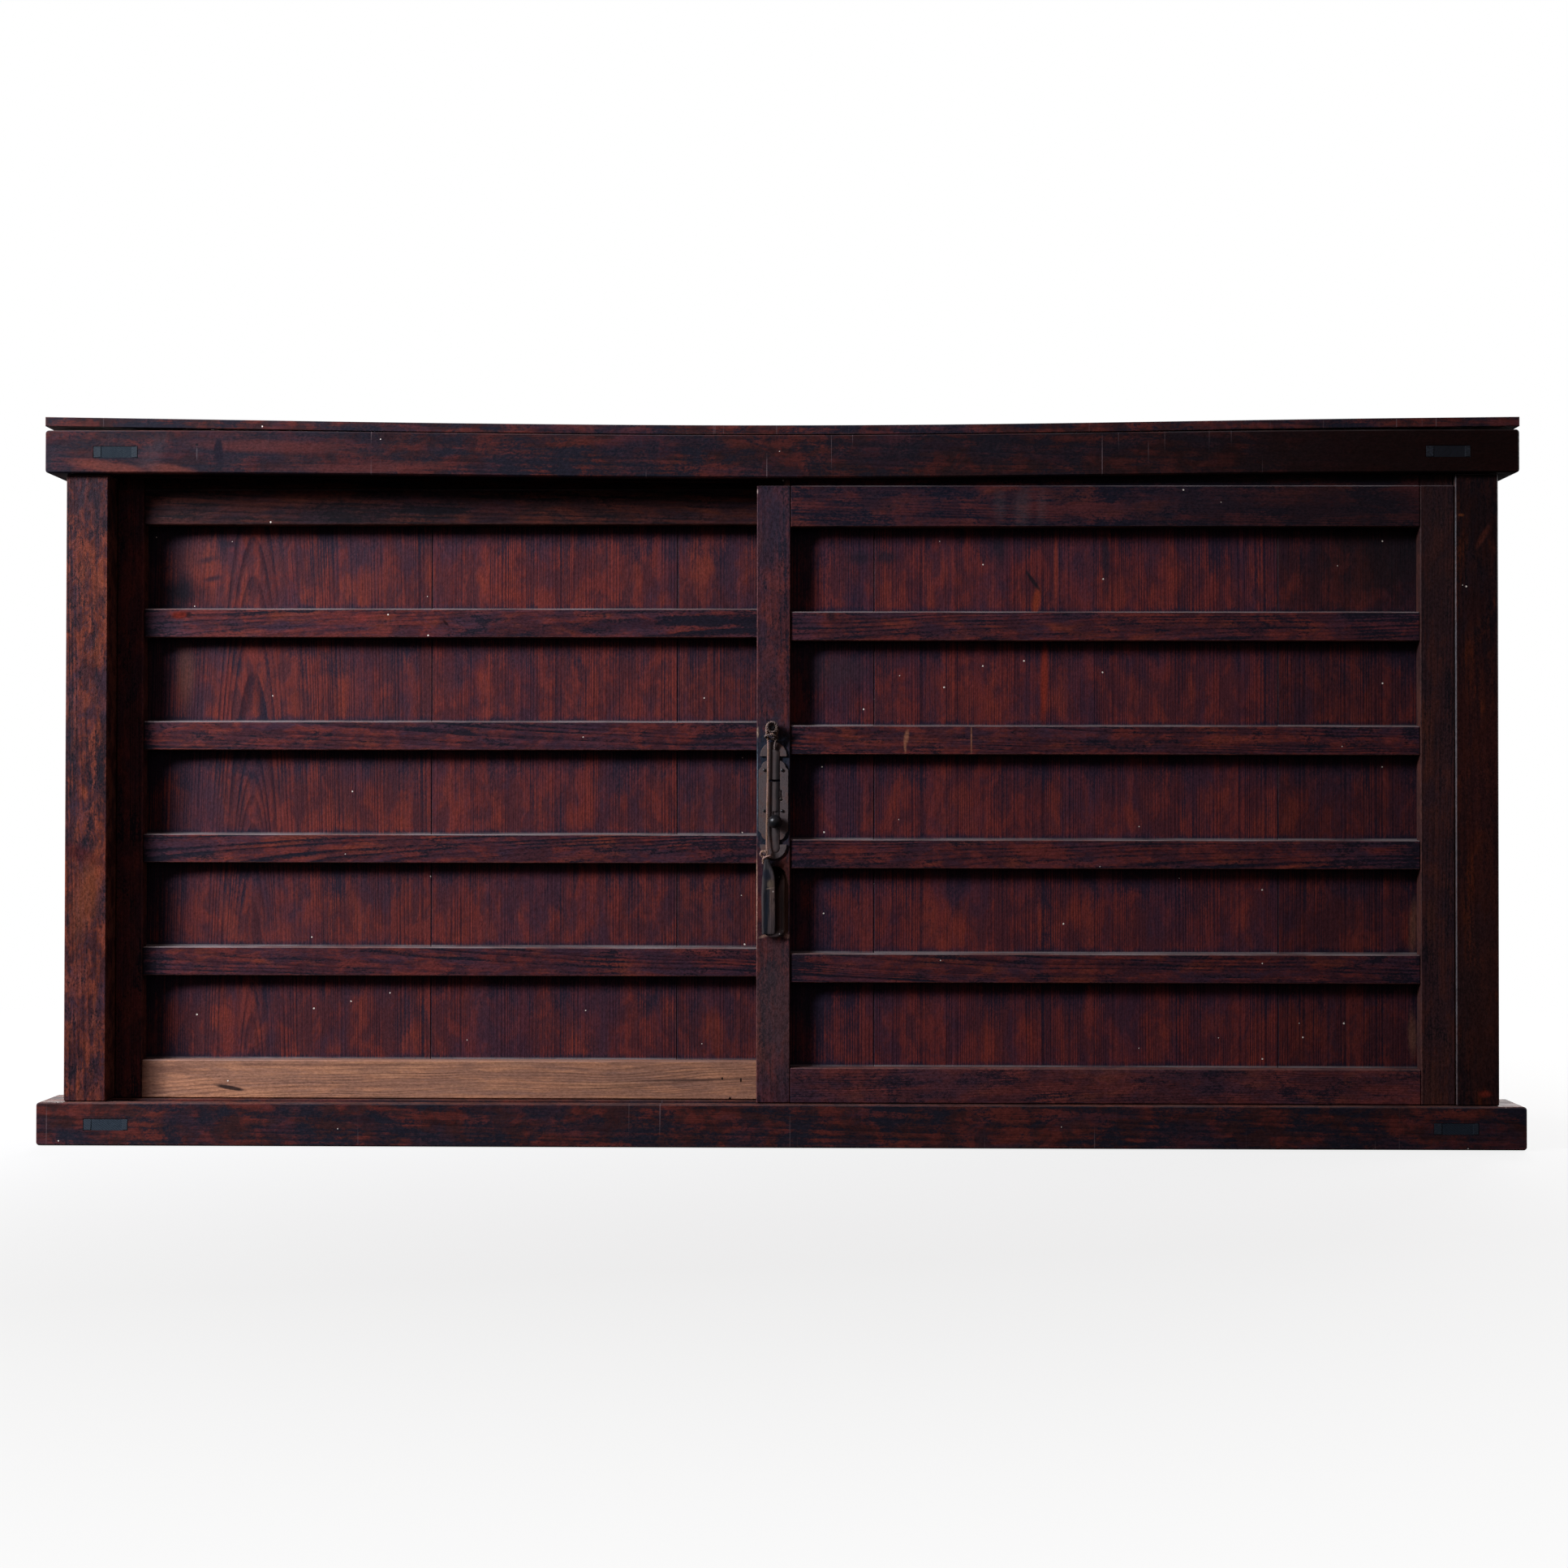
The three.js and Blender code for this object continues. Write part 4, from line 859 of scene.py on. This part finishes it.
def paint_mark(w, colour, uneven, code, share, x, z, half_x, half_z, turn, soft):
    """An ellipse on the front, with an uneven and soft edge: a stain or a worn spot, and in some
    places painted shade or a painted highlight.
    """
    place = w.placed((half_x * MM, 1, half_z * MM), (x * MM, 0, z * MM),
                     (0, math.radians(turn), 0), w.join(w.x, 0.0, w.z), "TEXTURE")
    spot = w.ramp(w.moved(w.length(place), uneven, MARK_UNEVEN), 1 + soft, 1 - soft)
    return w.mix(w.both(spot, share), colour, code)


def speck_share(w, amount):
    """Small drops of pale paint on the faces that look forward."""
    distance, chance = w.cells(w.join(w.x, w.z, 0.0), SPECKS_PER_METRE)
    size = w.ramp(chance, 0.0, amount, *SPECK_SIZES)
    dot = w.maths("LESS_THAN", distance, size)
    facing = w.ramp(w.ny, *FACES_FRONT)
    return w.both(w.both(dot, facing), w.maths("LESS_THAN", chance, amount))


def scratch_share(w, seed, amount):
    """Thin pale scratches that cross the grain at a slant, in patches."""
    share = 0.0
    for turn, rate in SCRATCH_SETS:
        place = w.placed((rate, 1, SCRATCH_RATE_ALONG), (seed, 0, seed * 2), (0, turn, 0))
        share = w.add(share, w.ramp(w.noise(place, 1.0, 0.4), *SCRATCH_RAMP))
    patch = w.noise(w.placed((SCRATCH_PATCH_RATE,) * 3, (seed * 5, 0, 0)))
    return w.both(w.times(share, amount), w.ramp(patch, *SCRATCH_PATCHES))


def dress(node, material):
    data = bpy.data.objects[node].data
    data.materials.clear()
    data.materials.append(material)


# Marks: colour, share, x, z, half width, half height, turn, softness. Lengths are in
# millimetres and turns in degrees

POST_EDGE = low("front_right_post").x / MM + 0.5
MARKS = {}
MARKS["front_top_rail"] = [
    ("#622f2a", 0.7, -610, 832, 80, 7, 1, 0.45),
    ("#602e2a", 0.7, -490, 806, 84, 5.5, -1, 0.45),
    ("#6c352a", 0.8, -798, 807, 46, 6, 8, 0.4),
    ("#6d372c", 0.8, -722, 803, 30, 6, 10, 0.4),
    ("#131320", 0.95, -668, 826, 5, 15, 0, 0.3),
    ("#0c090c", 1.0, -693.6, 833.5, 1.6, 1.4, 0, 0.3),
    ("#5d5458", 0.7, -693.6, 824, 0.7, 7, 0, 0.4),
    ("#5a4a50", 0.3, -748, 821, 12, 20, 30, 0.9),
    # Painted shade: these three broad dark marks stand in for the weaker light towards the right
    # end
    ("#1c0c0a", 0.85, 720, 826, 230, 90, 0, 0.9),
    ("#160908", 0.95, 820, 826, 200, 90, 0, 0.9),
    ("#1d1416", 0.4, 330, 826, 330, 90, 0, 0.9),
    ("#241c26", 0.4, -640, 824, 260, 40, 0, 0.9),
]
MARKS["rear_door_bottom_rail"] = [
    ("#5c4038", 0.75, -757, 74, 16, 26, 0, 0.8),
    ("#6e4c3f", 0.6, -735, 86, 34, 5, 2, 0.7),
    ("#6e4c3f", 0.5, -538, 92, 160, 1.6, 0, 0.6),
    ("#2a2020", 0.95, -661, 64, 17, 2.4, 10, 0.4),
    ("#4a3630", 0.8, -104, 75, 64, 1.3, -1, 0.6),
    ("#4a3630", 0.6, -190, 66, 50, 0.9, -3, 0.6),
    ("#1c1412", 1.0, -68, 77, 1.2, 2.0, 0, 0.3),
    ("#1c1412", 1.0, -45.6, 75, 1.2, 2.6, 0, 0.3),
    ("#1c1412", 1.0, -58.7, 53, 1.5, 1.5, 0, 0.3),
]
MARKS["front_door_batten_1"] = [("#1b171f", 0.8, 62, 630, 6, 7, 0, 0.6)]
MARKS["front_door_left_stile"] = [
    ("#222c38", 0.85, -6.5, 424, 30, 84, 0, 0.25),
    ("#262634", 0.5, -14, 560, 14, 60, 0, 0.8),
    ("#262634", 0.6, -6.5, 740, 26, 60, 0, 0.9),
    ("#3b2320", 0.7, 6, 330, 10, 14, 0, 0.7),
    ("#a5806f", 0.9, -26.4, 292, 0.9, 50, 0, 0.4),
    # Painted highlight: the thin blue-grey line along the lock plate's left edge
    ("#66747c", 0.7, -25.6, 424, 0.45, 42, 0, 0.5),
    ("#9d7a6b", 0.8, -17, 250.2, 6, 1.6, -20, 0.6),
    ("#8a675b", 0.7, 9.5, 250, 3.4, 2.6, 25, 0.6),
    ("#a08a84", 0.7, -25.9, 779, 0.7, 2.5, 0, 0.5),
    ("#8f7768", 0.85, -25.2, 492, 1.1, 5.5, 0, 0.4),
    ("#4b3c40", 0.5, -2, 165, 32, 72, 0, 0.8),
]
MARKS["front_left_post"] = [
    ("#3a1418", 0.75, -832, 345, 24, 9, 22, 0.6),
    ("#7d4022", 0.5, -826, 296, 12, 40, 12, 0.8),
    ("#1c1a24", 0.7, -820, 770, 20, 40, 0, 0.8),
    ("#1c1a24", 0.6, -846, 480, 5, 60, 0, 0.8),
]
MARKS["front_right_post"] = [
    ("#8a4a28", 0.8, 808.4, 750.5, 3.2, 1.6, 0, 0.5),
    ("#7a3a28", 0.5, 834, 725, 3, 14, 30, 0.6),
    ("#150f12", 0.6, 826, 760, 40, 70, 0, 0.9),
    ("#4c2018", 0.28, 826, 430, 30, 150, 0, 0.9),
    ("#40241f", 0.35, 826, 190, 34, 110, 0, 0.9),
    ("#70757c", 0.5, POST_EDGE, 440, 0.6, 420, 0, 0.5),
    ("#7a2c20", 0.6, 834.2, 65.3, 7, 3.5, 0, 0.6),
]
MARKS["front_door_top_rail"] = [
    ("#54484c", 0.26, 289, 757, 8, 22, 4, 0.9),
    ("#54484c", 0.2, 262, 762, 6, 16, -3, 0.9),
    ("#54484c", 0.2, 312, 760, 5, 18, 2, 0.9),
    # Painted shade: the broad dark mark over the right end, for the weaker light there
    ("#1d1518", 0.62, 690, 757, 210, 60, 0, 0.9),
]
# Painted shade: a broad dark mark over the upper stile, for the weaker light at the right end
MARKS["front_door_right_stile"] = [("#1c1618", 0.5, 767, 760, 40, 190, 0, 0.9)]
MARKS["front_door_batten_2"] = [
    ("#a06a50", 0.6, 151.6, 487, 2.4, 9, 8, 0.6),
    ("#a06a50", 0.5, 150, 474, 1.3, 7, -6, 0.6),
    ("#a06a50", 0.6, 228.7, 482, 0.8, 15, 0, 0.6),
]
MARKS["front_door_panel_board_1"] = [
    ("#37292f", 0.5, 66, 566, 30, 18, 0, 0.9),
    ("#201d28", 0.7, 96, 702, 12, 7, 0, 0.7),
]
MARKS["front_door_panel_board_2"] = [
    ("#86301f", 0.7, 317, 556, 4.4, 40, 1, 0.5),
    ("#85382a", 0.6, 331, 688, 2.4, 44, 0, 0.5),
    ("#82361f", 0.7, 308, 650, 4, 16, 8, 0.6),
    ("#1f1d28", 0.8, 264, 712, 9, 24, 0, 0.7),
    ("#1f1d28", 0.75, 391, 700, 5, 34, 0, 0.6),
    ("#16181e", 0.85, 303, 675, 2.2, 15, -36, 0.5),
    ("#201d28", 0.7, 128, 703, 12, 6, 0, 0.7),
]
MARKS["rear_door_panel_board_1"] = [
    ("#74493d", 0.4, -723, 566, 9, 34, 0, 0.8),
    ("#6d3429", 0.3, -710, 700, 26, 22, -12, 0.9),
    ("#1a1821", 0.9, -731, 664, 24, 17, -10, 0.8),
    ("#221d28", 0.75, -696, 703, 11, 3.5, -12, 0.7),
    ("#221d28", 0.75, -670, 722, 11, 5, 0, 0.7),
    ("#221d28", 0.7, -690, 680, 12, 3, -14, 0.7),
]
MARKS["front_door_panel_board_3"] = [
    # Painted shade: the broad dark mark at the top right, for the weaker light there
    ("#191518", 0.8, 722, 700, 90, 60, 0, 0.9),
    ("#7a5340", 0.45, 756, 262, 4, 26, 2, 0.8),
    ("#7a5340", 0.45, 755, 135, 4, 24, -2, 0.8),
]
MARKS["rear_door_batten_1"] = [
    ("#5a190f", 0.9, -725.5, 634.5, 10, 4.4, -2, 0.35),
    ("#1c0e12", 0.8, -714, 635, 3.4, 3.6, 0, 0.5),
    ("#7d302b", 0.4, -505, 631, 8, 5, 0, 0.6),
    ("#14090c", 0.8, -403, 625, 5, 1.5, 48, 0.5),
]

# The ring centre of each panel board: its x, its depth behind the face, and its slope

BOARD_HEARTS = {
    "rear_door": ((-0.640, 0.010, -0.062), (-0.05, 0.03, 0.006), (0.22, 0.05, 0.004)),
    "front_door": ((-0.12, 0.04, 0.006), (0.86, 0.16, 0.005), (0.42, 0.05, 0.012)),
}

# What a piece's colour is multiplied by, where its tone alone is off; for the front door's
# right-hand board it is painted shade, for the weaker light at the right end

TONE_AND_PAINTED_SHADE = {
    "front_top_rail": (0.83, 0.81, 0.82),
    "front_bottom_rail": (1.1, 1.04, 1.0),
    "front_right_post": (1.1, 1.12, 1.12),
    "front_door_bottom_rail": (1.03, 1.08, 1.10),
    "rear_door_panel_board_1": (0.98, 0.98, 0.98),
    "rear_door_panel_board_2": (1.06, 1.0, 1.0),
    "rear_door_panel_board_3": (0.9, 0.95, 1.0),
    "front_door_panel_board_1": (0.97, 0.95, 1.05),
    "front_door_panel_board_2": (1.04, 0.96, 1.02),
    # Painted shade: the front door's right-hand board, darker for the weaker light at the right
    # end
    "front_door_panel_board_3": (0.76, 0.76, 0.8),
}
SIDES = ("left", "right")

# The case: each node, the way of its grain, its tone and what else differs

CASE_PIECES = [
    ("front_top_rail", "x", RAIL, dict(scratches=0.8)),
    ("front_bottom_rail", "x", RAIL, dict(scratches=0.5)),
    ("rear_top_rail", "x", RAIL, {}),
    ("rear_bottom_rail", "x", RAIL, {}),
    ("top_board_front", "x", RAIL, dict(scratches=0.5)),
    ("top_board_rear", "x", RAIL, dict(scratches=0.5)),
    ("front_left_post", "z", POST, dict(wear=0.6)),
    ("front_right_post", "z", SHADED_POST, dict(wear=0.2)),
    ("rear_left_post", "z", POST, {}),
    ("rear_right_post", "z", POST, {}),
    *((f"{side}_{level}_side_rail", "y", RAIL, dict(end_wood=LIT_END_WOODS[f"{level}_{side}"]))
      for side in SIDES for level in ("top", "bottom")),
    *((f"{side}_side_board_{end}", "z", SIDE, {})
      for side in SIDES for end in ("front", "rear")),
    *((node, "x", HIDDEN, {}) for node in (
        "back_board_bottom", "back_board_middle", "back_board_top",
        "floor_board_front", "floor_board_rear", "shelf_board",
    )),
    *((node, "y", HIDDEN, {}) for node in (
        "left_shelf_cleat", "right_shelf_cleat", "floor_bearer", "top_bearer",
    )),
]


def dress_case():
    for seed, (node, grain, tone, extra) in enumerate(CASE_PIECES, 1):
        wood(node, grain, tone, seed, **extra)


def bay_height(w, foot, pitch):
    """Height over the ledge of a bay, as a share of the pitch of the bays."""
    return w.maths("FRACT", w.times(w.less(w.z, foot), 1 / pitch))


def bay_bias(foot, pitch, open_share, left, right, seams):
    """Darker towards the top of each bay and at the door's left end: painted shade under the
    batten above and beside the stile. More stain at the door's right end, just over the ledge at
    the bay's foot and in the joints between the boards."""
    def bias(w):
        rise = w.times(bay_height(w, foot, pitch), 1 / open_share)
        total = w.ramp(rise, *BAY_TOP_PAINTED_SHADE)
        total = w.add(total, w.ramp(rise, *BAY_FOOT_STAIN))
        total = w.add(total, w.ramp(w.less(w.x, left), *BAY_LEFT_PAINTED_SHADE))
        total = w.add(total, w.ramp(w.less(right, w.x), *BAY_RIGHT_STAIN))
        for seam in seams:
            gap = w.maths("ABSOLUTE", w.less(w.x, seam))
            total = w.add(total, w.ramp(gap, *SEAM_STAIN))
        return total
    return bias


def end_bias(left, right):
    """Dark stain at the left end of a batten, and darker over its right end: painted shade for
    the weaker light there.
    """
    def bias(w):
        left_end = w.ramp(w.less(w.x, left), *BATTEN_LEFT_STAIN)
        return w.either(left_end, w.ramp(w.less(right, w.x), *BATTEN_RIGHT_PAINTED_SHADE))
    return bias


def top_dust(top):
    """A line of dust along the top edge of a batten."""
    def share(w):
        return w.ramp(w.less(top, w.z), *BATTEN_TOP_DUST)
    return share


def ledge_dust(foot, pitch):
    """A line of dust in the corner over each ledge."""
    def share(w):
        return w.ramp(w.times(bay_height(w, foot, pitch), pitch), *LEDGE_DUST)
    return share


# Painted shade darkens the recess over these stretches of x, of depth behind the face and of
# height; over the stretch of x it turns paler towards the right rim, as painted light

RECESS_RIM_RAMP = (4 * MM, 9 * MM)
RECESS_DEPTH_RAMP = (0.8 * MM, 2.2 * MM)
RECESS_FOOT_RAMP = (247 * MM, 250 * MM)
RECESS_PAINTED_DARK_SHARE = 0.9


def painted_recess_shade(w, colour):
    """Painted shade inside the hollow behind the peg, paler towards its right rim: painted light
    where the peg's shadow falls.
    """
    inside = w.mix(w.ramp(w.x, *RECESS_RIM_RAMP), RECESS_PAINTED_SHADE, RECESS_RIM_PAINTED_LIGHT)
    depth = w.ramp(w.less(w.y, FRONT_DOOR_FACE), *RECESS_DEPTH_RAMP)
    share = w.both(w.both(depth, w.ramp(w.z, *RECESS_FOOT_RAMP)), RECESS_PAINTED_DARK_SHARE)
    return w.mix(share, colour, inside)


def dress_door(door, seed, top_rail_tone, bottom_rail_tone, hollow=None):
    battens = [f"{door}_batten_{i}" for i in range(1, 5)]
    boards = [f"{door}_panel_board_{i}" for i in range(1, 4)]
    rail = f"{door}_bottom_rail"
    pitch = high(battens[0]).z - high(battens[1]).z
    foot = high(rail).z
    open_share = (low(battens[0]).z - high(battens[1]).z) / pitch
    left = high(f"{door}_left_stile").x
    right = low(f"{door}_right_stile").x
    seams = [(high(a).x + low(b).x) / 2 for a, b in zip(boards, boards[1:])]

    wood(f"{door}_left_stile", "z", STILE, seed, STILE_HEART, wear=0.35, hollow=hollow)
    wood(f"{door}_right_stile", "z", SHADED_STILE, seed + 1, STILE_HEART, wear=0.2)
    wood(f"{door}_top_rail", "x", top_rail_tone, seed + 2, slope=0.02)
    heart = (middle(rail).z + BOTTOM_RAIL_HEART_UP, low(rail).y + HEART_BEHIND)
    wood(rail, "x", bottom_rail_tone, seed + 3, heart, slope=0.04, wander=0.03)
    for i, node in enumerate(battens):
        centre = middle(node)
        heart = (centre.z + BATTEN_HEARTS_UP[i % 2], centre.y + BATTEN_HEART_BEHIND)
        wood(node, "x", BATTEN, seed + 4 + i, heart, slope=0.03, wear=0.6, wander=0.02,
             more_dust=top_dust(high(node).z), bias=end_bias(left, right))
    for i, (node, (x, depth, slope)) in enumerate(zip(boards, BOARD_HEARTS[door])):
        wood(node, "z", PANEL, seed + 8 + i, (x, low(node).y + depth), slope=slope, wear=0.0,
             specks=0.16, wander=0.004, more_dust=ledge_dust(foot, pitch),
             bias=bay_bias(foot, pitch, open_share, left, right, seams))


# Iron, cord, peg and wedges: rates and ramps as for the wood

IRON_PIT = "#231e20"
IRON_PATCH_RATE = 90
IRON_PIT_RATE = 700
IRON_PATCH_RAMP = (0.45, 0.65)
IRON_PIT_RAMP = (0.46, 0.70, 0.6)
IRON_ROUGHNESS_RAMP = (0.3, 0.7)
IRON_ROUGHNESS_SPREAD = 0.25
IRON_PATCH_BUMP = 0.25 * MM
IRON_PIT_BUMP = 0.06 * MM
IRON_SPECULAR = 0.4
CORD_PATCH_RATES = (160, 160, 110)
CORD_HAIR_RATES = (1800, 1800, 700)
CORD_PATCH_RAMP = (0.42, 0.60, 1.0)
CORD_HAIR_RAMP = (0.38, 0.7, 0.7)
CORD_HAIR_BUMP = 0.25 * MM
PEG_STREAK_RATES = (420, 420, 26)
PEG_PATCH_RATES = (170, 170, 60)
PEG_PATCH_SHIFT = (3.1, 0.4, 1.2)
PEG_STREAK_RAMP = (0.35, 0.7, 1.0)
PEG_STAIN_RAMP = (0.42, 0.30, 0.7)
PEG_LINE_RAMP = (0.55, 0.75, 0.5)
PEG_STREAK_BUMP = 0.3 * MM
PEG_PATCH_BUMP = 0.6 * MM
WEDGE_GRIT_RATES = (260, 260, 900)
WEDGE_GRIT_RAMP = (0.4, 0.65, 0.6)
WEDGE_GRIT_BUMP = 0.2 * MM
WEDGE_RING_SEED = 3.0


def iron(name, base, rust, seed, roughness, rust_share, metallic, worn_edge, marks=()):
    w = Finish(name)
    shift = (seed * 2.1, seed, seed * 3.3)
    patina = w.noise(w.placed((IRON_PATCH_RATE,) * 3, shift), 5.0, 0.7)
    pits = w.noise(w.placed((IRON_PIT_RATE,) * 3, shift), 3.0, 0.6)
    colour = w.tint(base, patina, *IRON_PATCH_RAMP, rust_share, rust)
    colour = w.tint(colour, pits, *IRON_PIT_RAMP, IRON_PIT)
    # Marks, among them painted shade
    for mark in marks:
        colour = paint_mark(w, colour, patina, *mark)
    roughest = roughness + IRON_ROUGHNESS_SPREAD
    uneven = w.ramp(patina, *IRON_ROUGHNESS_RAMP, roughness, roughest)
    normal = w.bump(pits, IRON_PIT_BUMP, w.rounded(worn_edge))
    normal = w.bump(patina, IRON_PATCH_BUMP, normal)
    return w.done(colour, uneven, normal, IRON_SPECULAR, metallic)


PLATE_MARKS = [
    ("#463d3d", 0.8, -4.8, 424, 5.2, 78, 0, 0.3),
    # Painted shade on the ridge's right flank, which faces away from the lamp
    ("#1d191b", 0.95, -1.4, 424, 2.2, 62, 0, 0.5),
    # Painted shadow of the knob, right of it and a little below
    ("#3a3033", 0.6, 6, 384, 5, 8, 0, 0.8),
    ("#a3918b", 0.9, 2.6, 412.4, 2.1, 2.3, 0, 0.2),
    # Painted shade in the round and the slit of the keyhole
    ("#0b0909", 1.0, 2.6, 412.4, 1.3, 1.5, 0, 0.2),
    ("#0b0909", 1.0, 2.6, 418.5, 0.5, 4.5, 0, 0.2),
]


def fibre(name, pale, brown, dark):
    w = Finish(name)
    patch = w.noise(w.placed(CORD_PATCH_RATES), 3.0, 0.6)
    hair = w.noise(w.placed(CORD_HAIR_RATES), 2.0, 0.6)
    colour = w.tint(pale, patch, *CORD_PATCH_RAMP, brown)
    colour = w.tint(colour, hair, *CORD_HAIR_RAMP, dark)
    return w.done(colour, 0.95, w.bump(hair, CORD_HAIR_BUMP), 0.1)


# Patches of the peg: as MARKS, but x from its middle and z from its foot

PEG_PATCHES = [
    ("#413a3b", 0.9, -7.2, 34, 1.9, 40, 0, 0.4),
    ("#6d5a56", 0.9, 4.6, 42, 3.2, 28, 0, 0.4),
    ("#54494a", 0.8, 3.6, 10, 4.4, 14, 0, 0.5),
    ("#6b5d50", 0.9, 2.6, 60, 4.2, 5.0, 12, 0.4),
    ("#15161c", 0.95, -3.4, 26, 2.9, 38, 0, 0.4),
    ("#1c2431", 0.5, -1.8, 30, 2.0, 20, 4, 0.7),
    ("#191c27", 0.9, -2.0, 71, 4.6, 6.4, -14, 0.4),
    ("#5a5459", 0.8, 2.8, 74, 1.5, 8, -12, 0.5),
    ("#8b7a6c", 0.8, 2.4, 55, 5.0, 0.8, -10, 0.5),
    ("#c9bdb2", 0.9, 5.4, 51, 0.9, 0.9, 0, 0.3),
]


def peg_finish(name):
    w = Finish(name)
    streak = w.noise(w.placed(PEG_STREAK_RATES), 4.0, 0.6)
    patch = w.noise(w.placed(PEG_PATCH_RATES, PEG_PATCH_SHIFT), 4.0, 0.65)
    colour = w.tint("#3b383a", streak, *PEG_STREAK_RAMP, "#262427")
    centre = (PEG_LOW.x + PEG_HIGH.x) / 2 / MM
    for code, share, x, z, *shape in PEG_PATCHES:
        colour = paint_mark(w, colour, patch, code, share, centre + x, PEG_LOW.z / MM + z, *shape)
    colour = w.tint(colour, patch, *PEG_STAIN_RAMP, "#15161b")
    colour = w.tint(colour, streak, *PEG_LINE_RAMP, "#17181c")
    normal = w.bump(patch, PEG_PATCH_BUMP, w.bump(streak, PEG_STREAK_BUMP))
    return w.done(colour, 0.75, normal, 0.08)


def wedge_finish(place):
    w = Finish(f"{place}_wedge_wood")
    grit = w.noise(w.placed(WEDGE_GRIT_RATES), 3.0, 0.6)
    colour = end_colour(w, WEDGE_RING_SEED, LIT_END_WOODS[place])
    colour = w.tint(colour, grit, *WEDGE_GRIT_RAMP, "#343a42")
    return w.done(colour, 0.6, w.bump(grit, WEDGE_GRIT_BUMP), 0.12)


def dress_lock():
    plate = iron("plate_iron", "#5f5455", "#6a4a42", seed=1, roughness=0.5, rust_share=0.7,
                 metallic=0.25, worn_edge=0.9 * MM, marks=PLATE_MARKS)
    dark = iron("knob_iron", "#17181b", "#201b1c", seed=2, roughness=0.22, rust_share=0.4,
                metallic=0.1, worn_edge=0.3 * MM)
    nails = [node for node in frame["nodes"] if node.endswith("_plate_nail")]
    for node in ("lock_plate", "lock_bar"):
        dress(node, plate)
    for node in ("lock_knob", "cord_pin", *nails):
        dress(node, dark)
    cord_material = fibre("cord_fibre", "#b39087", "#9f7f69", "#42302b")
    for piece in (cord, lower_knot):
        piece.data.materials.append(cord_material)
    upper_knot.data.materials.append(fibre("knot_fibre", "#7f6f6c", "#66564e", "#2b2323"))
    peg.data.materials.append(peg_finish("peg_wood"))
    finishes = {place: wedge_finish(place) for place in LIT_END_WOODS}
    for place, wedge in wedges:
        wedge.data.materials.append(finishes[place])


dress_case()
dress_door("front_door", 31, BLUE_RAIL, STILE, painted_recess_shade)
dress_door("rear_door", 51, SHADED_RAIL, RAW)
dress_lock()


# Light, floor and background

LAMP_PLACE = Vector((-5.81, -3.07, 3.24))
LAMP_AIM = LAMP_PLACE + Vector((-0.222, 0.945, 0.24))
LAMP_WATTS = 5450
LAMP_COLOUR = (0.95, 0.98, 1.04)
LAMP_WIDTH = 5.1
LAMP_HEIGHT = 2.56
BACK_LAMPS = [((1.6, 2.2, 1.7), 60), ((2.4, 0.5, 1.2), 24), ((-1.2, 2.4, 1.4), 40)]
BACK_LAMP_SIZE = 1.2
BACK_LAMP_AIM = (0, 0.1, 0.4)
AMBIENT = (0.165, 0.13, 0.13, 1)
WHITE = (1, 1, 1, 1)


def area_lamp(name, place, aim, watts, width, height, colour=(1, 1, 1)):
    data = bpy.data.lights.new(name, "AREA")
    data.shape = "RECTANGLE"
    data.size = width
    data.size_y = height
    data.energy = watts
    data.color = colour
    lamp = bpy.data.objects.new(name, data)
    bpy.context.collection.objects.link(lamp)
    lamp.location = place
    lamp.rotation_euler = (Vector(aim) - Vector(place)).to_track_quat("-Z", "Y").to_euler()


def make_light():
    area_lamp("window_lamp", LAMP_PLACE, LAMP_AIM, LAMP_WATTS, LAMP_WIDTH, LAMP_HEIGHT,
              LAMP_COLOUR)
    for i, (place, watts) in enumerate(BACK_LAMPS):
        area_lamp(f"back_lamp_{i + 1}", place, BACK_LAMP_AIM, watts, BACK_LAMP_SIZE,
                  BACK_LAMP_SIZE)


def seen_share(w):
    """1 for rays straight from the camera or through glass."""
    path = w.made("LightPath", "Is Camera Ray").node.outputs
    return w.maths("ADD", path["Is Camera Ray"], path["Is Transmission Ray"], clamp=True)


def make_world():
    """White where it is seen, or mirrored from behind the object, and dim as light."""
    world = bpy.data.worlds.new("studio")
    bpy.context.scene.world = world
    w = Wires(world)
    behind = w.split(w.made("TexCoord", "Generated"))[1]
    mirrored = w.both(behind, w.made("LightPath", "Is Glossy Ray"))
    white = w.either(seen_share(w), mirrored)
    w.out("World", w.made("Background", 0, w.mix(white, AMBIENT, WHITE)))


FLOOR_HALF = 40
FLOOR_LEVEL = -1 * MM
FLOOR_FADE = (0.6, 2.2, 0.8, 1.0)
FLOOR_SEEN = (0.7, 0.7, 0.7, 1)
FLOOR_BOUNCE = (0.05, 0.05, 0.05, 1)


def make_floor():
    """A pale floor that keeps the object's shadow near it and turns white further out."""
    floor = add_mesh("pale_floor", [
        (x * FLOOR_HALF, y * FLOOR_HALF, FLOOR_LEVEL)
        for x, y in ((-1, -1), (1, -1), (1, 1), (-1, 1))
    ], [(0, 1, 2, 3)])
    w = Finish("pale_floor")
    seen = seen_share(w)
    fade = w.ramp(w.length(w.place), *FLOOR_FADE)
    lit = w.made("BsdfDiffuse", 0, w.mix(seen, FLOOR_BOUNCE, FLOOR_SEEN))
    glow = w.made("Emission", 0, WHITE)
    w.out("Material", w.made("MixShader", 0, w.times(seen, fade), lit, glow))
    floor.data.materials.append(w.material)


make_light()
make_world()
make_floor()

bpy.context.scene.view_settings.view_transform = "Standard"
